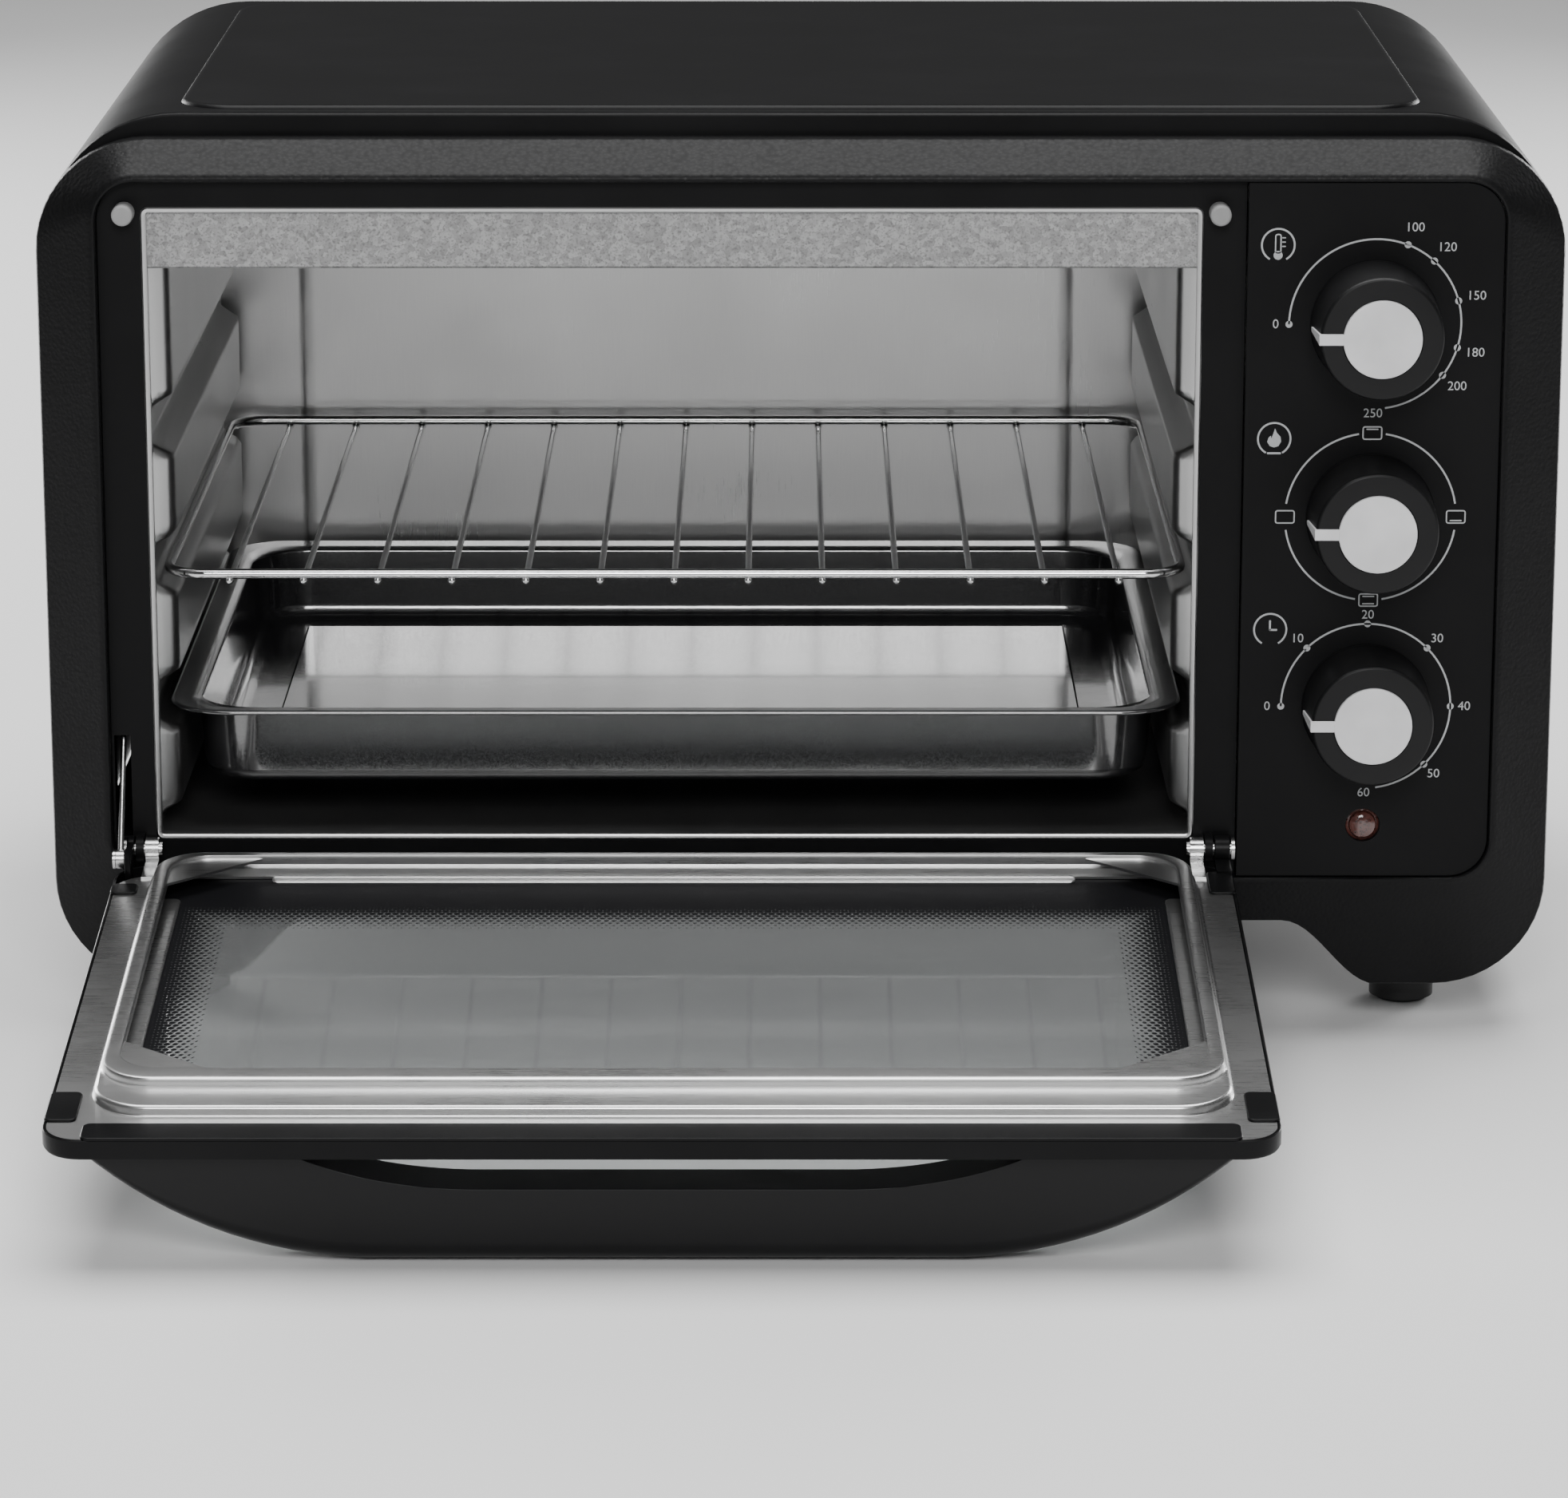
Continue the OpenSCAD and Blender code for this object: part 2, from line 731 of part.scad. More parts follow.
module control_knob(i) {
    color("#1c1c1c") at_front() difference() {
        translate([dial_x, knob_y, dial_z[i]]) rotate([-90, 0, 0]) rotate_extrude()
            polygon([[0, 0], [knob_d / 2, 0], [knob_base_d / 2, knob_h], [0, knob_h]]);
        rod_y(dial_x, shaft_front - 0.5, dial_z[i], shaft_d + 2 * running_gap, knob_h);
        rod_y(dial_x, knob_y + knob_h - 12, dial_z[i], knob_d - 6, 13);
        rod_y(dial_x, knob_y - tiny, dial_z[i], cap_d + 2 * hole_gap, 1);
    }
}

// Light cap of a knob, with the pointer that runs out over the rim
module control_cap(i) {
    pointer_w = 3.4;
    pointer_t = 0.6;
    run = knob_h * 0.72;
    r0 = knob_d / 2;
    r1 = r0 + run * (knob_base_d - knob_d) / 2 / knob_h;
    color("#d0d0d0") at_front() union() {
        rod_y(dial_x, knob_y - 0.8, dial_z[i], cap_d, 1.8 - hole_gap);
        translate([dial_x, knob_y, dial_z[i] - pointer_w / 2]) linear_extrude(pointer_w)
            polygon([[-r0, 0], [-r1, run], [-r1 - pointer_t, run], [-r0 - pointer_t, -pointer_t],
                [1 - cap_d / 2, -pointer_t], [1 - cap_d / 2, 0]]);
    }
}

module temperature_shaft() { control_shaft(0); }
module function_shaft() { control_shaft(1); }
module timer_shaft() { control_shaft(2); }
module temperature_knob() { control_knob(0); }
module function_knob() { control_knob(1); }
module timer_knob() { control_knob(2); }
module temperature_cap() { control_cap(0); }
module function_cap() { control_cap(1); }
module timer_cap() { control_cap(2); }

module lamp_lens() {
    color("#401010") at_front() union() {
        rod_y(dial_x, panel_y, lens_z, lens_d, panel_t + 2);
        translate([dial_x, panel_y, lens_z]) rotate([90, 0, 0]) rotate_extrude()
            intersection() {
                translate([0, -lens_d * 0.6]) circle(lens_d * 0.78);
                square([lens_d / 2, lens_d]);
            }
    }
}

module lamp_holder() {
    color("#303030") at_front() union() {
        rod_y(dial_x, panel_y + panel_t + 2, lens_z, lens_d + 3, 3);
        rod_y(dial_x, panel_y + panel_t + 5, lens_z, lens_d - 2, 22);
    }
}

module bumpers() {
    z = recess_z1 - 9.7;
    x = cavity_w / 2 + 4.6;
    color("#9c9c9c") at_front() translate([cavity_x, 0, 0]) both_sides()
        rod_y(x, hinge_in + hem_n + loose_gap, z, 6.4, plate_y - hinge_in - hem_n - loose_gap);
}

// ---------------------------------------------------------------- hinges

module hinge_brackets() {
    color("#181818") at_front() translate([cavity_x, 0, 0]) both_sides() difference() {
        union() {
            rod_x(bracket_in, hinge_in, hinge_z, pin_d + 4, bracket_w);
            translate([bracket_in, hinge_in, hinge_z - pin_d / 2 - 2])
                cube([bracket_w, plate_y - hinge_in, pin_d + 4]);
        }
        rod_x(bracket_in - 1, hinge_in, hinge_z, pin_d + 0.04, bracket_w + 2);
    }
}

// One pin, from inside its knuckle to its head at x1
module hinge_pin(x1) {
    x0 = knuckle_x - 1;
    rod_x(x0, hinge_in, hinge_z, pin_d, x1 - x0 + tiny);
    rod_x(x1, hinge_in, hinge_z, pin_d + 3, 1);
}

module hinge_pins() {
    color("silver") at_front() translate([cavity_x, 0, 0]) {
        hinge_pin(pin_end);
        mirror([1, 0, 0]) hinge_pin(link_pin_end);
    }
}

// ---------------------------------------------------------------- door

// The door's outline, drawn as x and -s
module door_plan(inset = 0) {
    near = -door_heel - inset;
    far = -door_len + inset;
    half = door_w / 2 - inset;
    r = 11 - inset;
    round_span(-half, half, far, near, r);
    translate([-half, (far + near) / 2]) square([2 * half, near - (far + near) / 2]);
}

module span_plan(half, s0, s1, r) {
    round_span(-half, half, -s1, -s0, r);
}

// The window in the inner pan, with its cut corners
module window_plan() {
    cut_x = 22;
    cut_s = 17;
    x = window_half;
    polygon([
        [x - cut_x, -window_s0], [x, -window_s0 - cut_s], [x, -window_s1 + cut_s], [x - cut_x, -window_s1],
        [-x + cut_x, -window_s1], [-x, -window_s1 + cut_s], [-x, -window_s0 - cut_s],
        [-x + cut_x, -window_s0]
    ]);
}

// Hinge ear of the outer panel, w wide: a round eye on an arm that rises to n1
module hinge_ear(w, n1) {
    difference() {
        union() {
            rod_x(ear_in, 0, 0, pin_d + 4.2, w);
            translate([ear_in, -14, -pin_d / 2 - 2.1]) cube([w, 14, n1 + pin_d / 2 + 2.1]);
            translate([ear_in, -14, outer_n]) cube([w, 14 - door_heel, door_t + 1]);
        }
        rod_x(ear_in - 1, 0, 0, pin_d + 2 * running_gap, w + 2);
    }
}

handle_screw_x = handle_w / 2 - 20;
handle_screw_s = (handle_s0 + handle_s1) / 2;
screw_r = 1.6;

module door_outer_panel() {
    color("#181818") in_door() {
        difference() {
            slab(outer_n, door_t) door_plan();
            slab(outer_n + skin_t, door_t) door_plan(skin_t);
            slab(outer_n - 1, skin_t + 2) span_plan(glass_half - 8, 20, glass_s1 - 6, 8);
            for (x = [-1, 1]) translate([x * handle_screw_x, -handle_screw_s, outer_n - 1])
                cylinder(r = screw_r + hole_gap, h = 4);
        }
        // Hem along the free edge, tabs at the sides and at the hinge
        slab(pan_n, pan_t) intersection() {
            door_plan();
            translate([-cavity_w / 2, -door_len]) square([cavity_w, hem_w]);
        }
        slab(pan_n, pan_t) intersection() {
            door_plan();
            for (side = [-1, 1]) translate([side * (door_w / 2 - 4.5), -door_len + 23])
                round_rect(9, 20, 2);
        }
        hinge_ear(ear_w, pan_n + 1.5);
        mirror([1, 0, 0]) hinge_ear(link_ear_w, link_n + stud_d);
        translate([door_w / 2 - 8.2, -30, pan_n]) cube([8.2, 19, pan_t]);
        translate([-door_w / 2, -30, pan_n]) cube([8.2, 8, pan_t]);
    }
}

module door_inner_pan() {
    rise = ridge_n - pan_n;
    low = pan_n - pan_t;
    color("#b8b8b8") in_door() difference() {
        union() {
            slab(low, pan_t) difference() {
                door_plan(skin_t + 0.2);
                translate([-door_w, -9]) square([2 * door_w, 9]);
                both_sides() translate([ear_in - 0.4, -14.4]) square([20, 14.4]);
            }
            slab(low, step_n - low) span_plan(ridge_half, ridge_s0, step_s1, 16);
            slab(low, ridge_n - low) span_plan(ridge_half - 1, ridge_s0 + 1, ridge_s1, 15);
        }
        slab(low - 1, step_n - low + 1 - pan_t) span_plan(ridge_half - pan_t, ridge_s0 + pan_t,
            step_s1 - pan_t, 16 - pan_t);
        slab(low - 1, ridge_n - low + 1 - pan_t) span_plan(ridge_half - 1 - pan_t, ridge_s0 + 1 + pan_t,
            ridge_s1 - pan_t, 15 - pan_t);
        slab(low - 1, rise + 6) window_plan();
    }
}

module hinge_knuckles() {
    color("#c8c8c8") in_door() both_sides() difference() {
        union() {
            rod_x(knuckle_x, 0, 0, knuckle_d, knuckle_w);
            translate([knuckle_x, -17, pan_n]) cube([knuckle_w, 17, pan_t]);
        }
        rod_x(knuckle_x - 1, 0, 0, pin_d + 2 * running_gap, knuckle_w + 2);
    }
}

module door_glass() {
    color([0.6, 0.65, 0.65, 0.5]) in_door()
        slab(glass_n, glass_t) span_plan(glass_half, window_s0 - 1, glass_s1, 6);
}

module glass_strips() {
    z = glass_n + glass_t;
    strip_t = 0.7;
    color("#b0b0b0") in_door() {
        both_sides() slab(z, strip_t) round_span(window_half - 4, glass_half - 1, -window_s1 + 14,
            -window_s0 - 20, 2);
        slab(z, strip_t) round_span(-window_half + 30, window_half - 30, -window_s0 - 6, -window_s0, 2);
    }
}

// One side of the handle's bow, from its foot on the door to its flat middle
bow_steps = 10;
function bow(half, depth) = [for (i = [0:bow_steps])
    let (t = i / bow_steps, u = 1 - t)
    [half * (u * u + 2 * u * t * 0.80 + t * t * 0.52), -depth * (2 * u * t * 0.93 + t * t)]];

module bow_plan(half, depth) {
    side = bow(half, depth);
    polygon(concat(side, [for (i = [bow_steps:-1:0]) [-side[i][0], side[i][1]]]));
}

// Draws in x and n, and extrudes along the door from s0 to s1
module along_s(s0, s1) {
    translate([0, -s0, 0]) rotate([90, 0, 0]) linear_extrude(s1 - s0) children();
}

module door_handle() {
    gap_half = handle_w / 2 - 58;
    wall = 3;
    color("#1a1a1a") in_door() difference() {
        union() {
            along_s(handle_s0, handle_s1 - handle_edge) translate([0, outer_n]) bow_plan(handle_w / 2, handle_d);
            hull() {
                along_s(handle_s1 - handle_edge - tiny, handle_s1 - handle_edge)
                    translate([0, outer_n]) bow_plan(handle_w / 2, handle_d);
                along_s(handle_s1 - tiny, handle_s1)
                    translate([0, outer_n]) bow_plan(handle_w / 2 - handle_edge / 2, handle_d - handle_edge);
            }
        }
        along_s(handle_s0 - 1, handle_s1 + 1) translate([0, outer_n + tiny]) bow_plan(gap_half, grip_gap);
        along_s(handle_s0 - 1, handle_s1 - wall) difference() {
            translate([0, outer_n]) bow_plan(handle_w / 2 - 6, handle_d - handle_edge - wall);
            translate([-handle_w / 2, outer_n - 9]) square([handle_w, 20]);
            translate([0, outer_n + tiny]) bow_plan(gap_half + 6, grip_gap + wall);
        }
        for (x = [-1, 1]) translate([x * handle_screw_x, -handle_screw_s, outer_n - 8])
            cylinder(r = screw_r + 0.05, h = 9);
    }
}

module handle_screws() {
    color("silver") in_door() for (x = [-1, 1]) translate([x * handle_screw_x, -handle_screw_s, 0]) {
        translate([0, 0, outer_n - 7]) cylinder(r = screw_r, h = 7 + skin_t + tiny);
        translate([0, 0, outer_n + skin_t]) cylinder(r = 3, h = 1.4);
    }
}

// ---------------------------------------------------------------- door link and spring

module link_stud() {
    head_x = link_x - eye_w / 2 - 0.2;
    color("silver") in_door() union() {
        rod_x(head_x, -link_s, link_n, stud_d, stud_x - head_x);
        rod_x(head_x - 0.8, -link_s, link_n, stud_d + 3, 0.8 + tiny);
    }
}

// Places the link's parts: drawn along +Y from the stud, rising to the rear
module on_link() {
    in_door() translate([link_x, -link_s, link_n]) rotate([link_rise - door_rest, 0, 0]) children();
}

module door_link() {
    color("#c0c0c0") on_link() difference() {
        union() {
            rod_x(-eye_w / 2, 0, 0, stud_d + 3, eye_w);
            rod_y(0, 0, 0, link_wire, link_len);
        }
        rod_x(-eye_w, 0, 0, stud_d + 2 * running_gap, 2 * eye_w);
    }
}

coil_r = 2.7;
coil_turns = 18;
coil_wire = 0.5;
coil_points = 12;
coil_sides = 6;
coil_len = spring_len - 8;

// Points of one ring of the coil's wire, across its path
function coil_ring(i) = let (a = 360 * i / coil_points, y = coil_y0 + coil_len * i / coil_points / coil_turns)
    [for (k = [0:coil_sides - 1]) let (b = 360 * k / coil_sides, r = coil_r + coil_wire * cos(b))
        [r * cos(a), y + coil_wire * sin(b), r * sin(a)]];

module door_spring() {
    rings = coil_points * coil_turns;
    last = rings * coil_sides;
    points = [for (i = [0:rings]) each coil_ring(i)];
    sides = [for (i = [0:rings - 1], k = [0:coil_sides - 1]) let (n = (k + 1) % coil_sides)
        [i * coil_sides + k, i * coil_sides + n, (i + 1) * coil_sides + n, (i + 1) * coil_sides + k]];
    near = [for (k = [coil_sides - 1:-1:0]) k];
    far = [for (k = [0:coil_sides - 1]) last + k];
    color("#a8a8a8") on_link() polyhedron(points, concat([near], sides, [far]));
}

spring_strip_w = 11;

// Strip on the back of the front plate that holds the spring's upper end
module spring_bracket() {
    x = cavity_x + link_x;
    y0 = plate_y + plate_t;
    color("#909090") at_front() difference() {
        union() {
            translate([x - 3, y0, post_z + 1]) cube([spring_strip_w, post_y + 4 - y0, 1.2]);
            translate([x - 3, y0, post_z + 1]) cube([spring_strip_w, 1.2, 12]);
        }
        translate([x, post_y, post_z]) cylinder(d = 3, h = 4);
    }
}

// ---------------------------------------------------------------- rack and tray

rack_y0 = cavity_y0 + 6;
rack_w = cavity_w - 2 * rack_gap;
rack_d = cavity_y1 - rack_back - rack_y0;
rack_z = groove_z[1] - groove_h / 2 + rod_d / 2 + 0.4;
rack_r = 12;

// A ring of round rod, w by d over all
module rod_ring(w, d, r, rod) {
    x = w / 2 - rod / 2 - r;
    y = d / 2 - rod / 2 - r;
    for (side = [-1, 1]) {
        rod_x(-x, side * (y + r), 0, rod, 2 * x);
        rod_y(side * (x + r), -y, 0, rod, 2 * y);
    }
    for (q = [0:3]) rotate([0, 0, 90 * q])
        translate(q % 2 == 0 ? [x, y, 0] : [y, x, 0])
        rotate_extrude(angle = 90) translate([r, 0]) circle(d = rod);
}

module wire_rack() {
    pitch = (rack_w - 42) / (wires - 1);
    color("#d8d8d8") at_front() translate([cavity_x, rack_y0 + rack_d / 2, rack_z]) union() {
        rod_ring(rack_w, rack_d, rack_r, rod_d);
        for (i = [0:wires - 1])
            rod_y((i - (wires - 1) / 2) * pitch, -rack_d / 2 + 1, -rod_d / 2 + 0.2, wire_d, rack_d - 2);
    }
}

tray_y0 = cavity_y0 + 5;
tray_w = cavity_w - 2 * tray_gap;
tray_d = cavity_y1 - tray_back - tray_y0;
tray_z = groove_z[0] - groove_h / 2 + 0.8;
tray_t = 1;

module baking_tray() {
    basin_w = tray_w - 2 * rim_w;
    basin_d = tray_d - 2 * rim_w;
    color("#1e1e1e") at_front() translate([cavity_x, tray_y0 + tray_d / 2, tray_z]) difference() {
        union() {
            slab(0, 1.6) round_rect(tray_w, tray_d, 20);
            slab(-tray_h, tray_h + 1) round_rect(basin_w, basin_d, 20);
        }
        slab(-tray_h + tray_t, tray_h + 3) round_rect(basin_w - 2 * tray_t, basin_d - 2 * tray_t, 19);
    }
}

// ---------------------------------------------------------------- cord inlet

module cord_bushing() {
    color("#202020") at_front() difference() {
        union() {
            rod_y(gland_x, body_d - sheet_t - 3, gland_z, gland_bore + 5, 3 + sheet_t + bushing_out);
            rod_y(gland_x, body_d, gland_z, gland_bore + 9, bushing_out - 1);
            rod_y(gland_x, body_d - sheet_t - 3, gland_z, gland_bore + 9, 3);
        }
        rod_y(gland_x, body_d - 20, gland_z, gland_bore, 40);
    }
}

module terminal_block() {
    color("#d8d8d0") at_front() difference() {
        translate([gland_x - 46, body_d - 44, base_z + sheet_t]) cube([38, 16, 14]);
        for (i = [0:2]) translate([gland_x - 39 + i * 12, body_d - 36, base_z + 8]) cylinder(d = 5, h = 10);
    }
}

front_frame();
outer_cover();
back_panel();
base_plate();
feet();
foot_pads();
foot_screws();
back_screws();
front_plate();
cavity_left_wall();
cavity_right_wall();
cavity_back();
cavity_roof();
cavity_floor();
cavity_rivets();
heat_deflector();
upper_element();
lower_element();
element_insulators();
element_bracket();
control_panel();
thermostat();
function_switch();
timer();
timer_bell();
temperature_shaft();
temperature_knob();
temperature_cap();
function_shaft();
function_knob();
function_cap();
timer_shaft();
timer_knob();
timer_cap();
lamp_lens();
lamp_holder();
bumpers();
hinge_brackets();
hinge_pins();
door_outer_panel();
door_inner_pan();
hinge_knuckles();
door_glass();
glass_strips();
door_handle();
handle_screws();
link_stud();
door_link();
door_spring();
spring_bracket();
wire_rack();
baking_tray();
cord_bushing();
terminal_block();
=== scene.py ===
import json
from math import cos, pi, radians, sin

import bmesh
import bpy
from mathutils import Matrix, Vector


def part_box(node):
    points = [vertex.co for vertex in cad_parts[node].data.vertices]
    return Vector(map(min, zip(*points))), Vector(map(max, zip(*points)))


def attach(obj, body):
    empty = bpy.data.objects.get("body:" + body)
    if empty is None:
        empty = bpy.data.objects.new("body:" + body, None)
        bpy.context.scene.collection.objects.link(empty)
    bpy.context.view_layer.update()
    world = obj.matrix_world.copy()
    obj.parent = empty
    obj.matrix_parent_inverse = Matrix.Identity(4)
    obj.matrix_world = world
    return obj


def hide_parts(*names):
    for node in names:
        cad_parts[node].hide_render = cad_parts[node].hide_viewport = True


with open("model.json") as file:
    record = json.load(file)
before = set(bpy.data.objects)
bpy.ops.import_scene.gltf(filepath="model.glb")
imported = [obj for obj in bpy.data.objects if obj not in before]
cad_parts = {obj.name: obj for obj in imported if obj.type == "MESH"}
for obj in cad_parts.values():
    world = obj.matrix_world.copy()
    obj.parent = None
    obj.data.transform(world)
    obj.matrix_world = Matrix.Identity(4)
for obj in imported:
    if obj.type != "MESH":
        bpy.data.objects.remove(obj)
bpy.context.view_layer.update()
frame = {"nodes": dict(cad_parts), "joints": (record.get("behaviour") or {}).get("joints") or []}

mm = 0.001

# ------------------------------------------------------------------ places, read from the frame

frame_low, frame_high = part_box("front_frame")
cover_low, cover_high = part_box("outer_cover")
plate_low, plate_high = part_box("front_plate")
panel_low, panel_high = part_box("control_panel")
back_low, back_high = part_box("cavity_back")
left_low, left_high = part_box("cavity_left_wall")
right_low, right_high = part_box("cavity_right_wall")

joints = {joint["name"]: joint for joint in frame["joints"]}
front = frame_low.y
middle = (left_low.x + right_high.x) / 2
floor_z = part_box("cavity_floor")[1].z
roof_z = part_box("cavity_roof")[0].z

hinge = Vector(joints["door_hinge"]["pos_m"])
door_rest = radians(-joints["door_hinge"]["range_deg"][0] - 90)
recess_x = -plate_low.x + 0.15 * mm
recess_low = plate_low.z - 0.15 * mm
recess_high = plate_high.z + 0.15 * mm

# Pieces are modelled lying flat, seen from outside, and these stand them in their places
ON_FRONT = Matrix.Translation((0, front, 0)) @ Matrix.Rotation(pi / 2, 4, "X")
ON_DOOR = Matrix.Translation((middle, hinge.y, hinge.z)) @ Matrix.Rotation(door_rest, 4, "X")

# ------------------------------------------------------------------ modelling helpers


def choose(piece):
    """Makes piece the only selected object."""
    bpy.ops.object.select_all(action="DESELECT")
    piece.select_set(True)
    bpy.context.view_layer.objects.active = piece


def open_edit(piece, mode="VERT"):
    choose(piece)
    bpy.ops.object.mode_set(mode="EDIT")
    bpy.ops.mesh.select_mode(type=mode)


def close_edit():
    bpy.ops.object.mode_set(mode="OBJECT")


def pick(piece, kind, test):
    """In edit mode, selects only the verts, edges or faces that pass the test."""
    bpy.ops.mesh.select_all(action="DESELECT")
    mesh = bmesh.from_edit_mesh(piece.data)
    for item in getattr(mesh, kind):
        if test(item):
            item.select_set(True)
    mesh.select_flush(True)
    bmesh.update_edit_mesh(piece.data)


def picked(piece):
    """In edit mode, the numbers of the selected vertices."""
    return {v.index for v in bmesh.from_edit_mesh(piece.data).verts if v.select}


def move(*offset):
    bpy.ops.transform.translate(value=offset)


def scale(value, centre):
    bpy.ops.transform.resize(value=value, center_override=centre)


def extrude(*offset):
    bpy.ops.mesh.extrude_region_move(TRANSFORM_OT_translate={"value": offset})


def modify(piece, kind, **settings):
    """Adds a modifier and applies it."""
    choose(piece)
    bpy.ops.object.modifier_add(type=kind)
    modifier = piece.modifiers[-1]
    for name, value in settings.items():
        setattr(modifier, name, value)
    bpy.ops.object.modifier_apply(modifier=modifier.name)


def cut(piece, tool):
    """Takes the tool's shape out of the piece."""
    modify(piece, "BOOLEAN", object=tool, operation="DIFFERENCE", solver="EXACT")
    bpy.data.objects.remove(tool)


def soften(piece, width, segments=3, angle=35):
    """Rounds the piece's sharp edges."""
    modify(piece, "BEVEL", width=width, segments=segments, limit_method="ANGLE", angle_limit=radians(angle),
           use_clamp_overlap=True, harden_normals=False)


def join(pieces):
    choose(pieces[0])
    for piece in pieces:
        piece.select_set(True)
    bpy.ops.object.join()
    return pieces[0]


def copy_at(piece, offset):
    choose(piece)
    bpy.ops.object.duplicate()
    twin = bpy.context.object
    twin.location = offset
    bpy.ops.object.transform_apply()
    return twin


def stand(piece, place):
    """Turns and moves a finished piece into the shared frame, with its place kept in its mesh."""
    piece.matrix_world = place
    choose(piece)
    bpy.ops.object.transform_apply(location=True, rotation=True, scale=True)
    return piece


def tidy(piece, closed=True):
    """Merges double points and turns the normals outwards."""
    open_edit(piece)
    bpy.ops.mesh.select_all(action="SELECT")
    bpy.ops.mesh.remove_doubles(threshold=0.002 * mm)
    if closed:
        bpy.ops.mesh.normals_make_consistent(inside=False)
    close_edit()


def loft(name, steps, segments=8, ring=False, chamfer=False):
    """A form through rounded rectangles, each (x0, x1, y0, y1, corner radius, height).
    A ring's last rectangle is its first one again, and it has a hole through it."""
    x0, x1, y0, y1, radius, height = steps[0]
    centre = ((x0 + x1) / 2, (y0 + y1) / 2, height)
    bpy.ops.object.select_all(action="DESELECT")
    bpy.ops.mesh.primitive_plane_add(size=1, location=(0, 0, 0))
    piece = bpy.context.object
    piece.name = name
    open_edit(piece)
    bpy.ops.mesh.select_all(action="SELECT")
    scale((x1 - x0, y1 - y0, 1), (0, 0, 0))
    bpy.ops.mesh.bevel(offset=radius, segments=segments, affect="VERTICES", profile=0.25 if chamfer else 0.5)
    bpy.ops.mesh.select_all(action="SELECT")
    move(*centre)
    bpy.ops.mesh.select_mode(type="VERT")
    for before, after in zip(steps, steps[1:]):
        extrude(0, 0, after[5] - before[5])
        reshape(piece, picked(piece), before, after)
    if ring:
        open_ends(piece)
    close_edit()
    tidy(piece)
    return piece


def open_ends(piece):
    """Takes away the many-sided faces at a ring's first and last step."""
    pick(piece, "faces", lambda face: len(face.verts) > 4)
    bpy.ops.mesh.delete(type="ONLY_FACE")


def reshape(piece, loop, before, after):
    """Moves a loop's corner arcs from one rounded rectangle to the next."""
    middle_x = (before[0] + before[1]) / 2
    middle_y = (before[2] + before[3]) / 2
    mesh = bmesh.from_edit_mesh(piece.data)
    mesh.verts.ensure_lookup_table()
    corners = {}
    for number in loop:
        point = mesh.verts[number].co
        corners.setdefault((point.x > middle_x, point.y > middle_y), set()).add(number)
    ratio = after[4] / before[4]
    for (right, upper), numbers in corners.items():
        start = arc_centre(before, right, upper)
        end = arc_centre(after, right, upper)
        pick(piece, "verts", lambda vert: vert.index in numbers)
        if abs(ratio - 1) > 1e-6:
            scale((ratio, ratio, 1), (start[0], start[1], after[5]))
        move(end[0] - start[0], end[1] - start[1], 0)
    pick(piece, "verts", lambda vert: vert.index in loop)


def arc_centre(step, right, upper):
    radius = step[4]
    x = step[1] - radius if right else step[0] + radius
    y = step[3] - radius if upper else step[2] + radius
    return x, y


def turned(name, steps, sides=64, ring=False):
    """A form through circles, each (radius, height)."""
    radius, height = steps[0]
    bpy.ops.object.select_all(action="DESELECT")
    bpy.ops.mesh.primitive_circle_add(vertices=sides, radius=radius, fill_type="NGON",
                                      location=(0, 0, height))
    piece = bpy.context.object
    piece.name = name
    bpy.ops.object.transform_apply()
    open_edit(piece)
    bpy.ops.mesh.select_all(action="SELECT")
    for before, after in zip(steps, steps[1:]):
        extrude(0, 0, after[1] - before[1])
        ratio = after[0] / before[0]
        scale((ratio, ratio, 1), (0, 0, after[1]))
    if ring:
        open_ends(piece)
    close_edit()
    tidy(piece)
    return piece


def path_of(name, points):
    """A chain of edges through points, begun from one merged point."""
    bpy.ops.object.select_all(action="DESELECT")
    bpy.ops.mesh.primitive_plane_add(size=mm, location=(0, 0, 0))
    piece = bpy.context.object
    piece.name = name
    open_edit(piece)
    bpy.ops.mesh.select_all(action="SELECT")
    bpy.ops.mesh.merge(type="CENTER")
    move(*points[0])
    for before, after in zip(points, points[1:]):
        extrude(*(Vector(after) - Vector(before)))
    close_edit()
    return piece


def wire(name, points, diameter, closed=False, sides=3):
    """A round rod along a path."""
    piece = path_of(name, points)
    choose(piece)
    bpy.ops.object.convert(target="CURVE")
    path = bpy.context.object
    path.data.bevel_depth = diameter / 2
    path.data.bevel_resolution = sides
    path.data.use_fill_caps = True
    path.data.splines[0].use_cyclic_u = closed
    choose(path)
    bpy.ops.object.convert(target="MESH")
    piece = bpy.context.object
    tidy(piece)
    return piece


def arc(centre, radius, start, end, count):
    """Points of an arc in the plane of X and Y."""
    turns = [radians(start + (end - start) * i / count) for i in range(count + 1)]
    return [(centre[0] + radius * cos(a), centre[1] + radius * sin(a), centre[2]) for a in turns]


def finish(piece, body, material, replaced=(), smooth=35):
    """Shades a piece, gives it its material and hangs it on its body."""
    choose(piece)
    bpy.ops.object.shade_smooth_by_angle(angle=radians(smooth))
    modify(piece, "WEIGHTED_NORMAL", keep_sharp=True)
    piece.data.materials.clear()
    piece.data.materials.append(material)
    if replaced:
        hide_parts(*replaced)
    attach(piece, body)
    return piece


def repaint(node, material):
    """Gives a CAD node that stays its material."""
    slots = frame["nodes"][node].material_slots
    for slot in slots:
        slot.material = material


# ------------------------------------------------------------------ materials


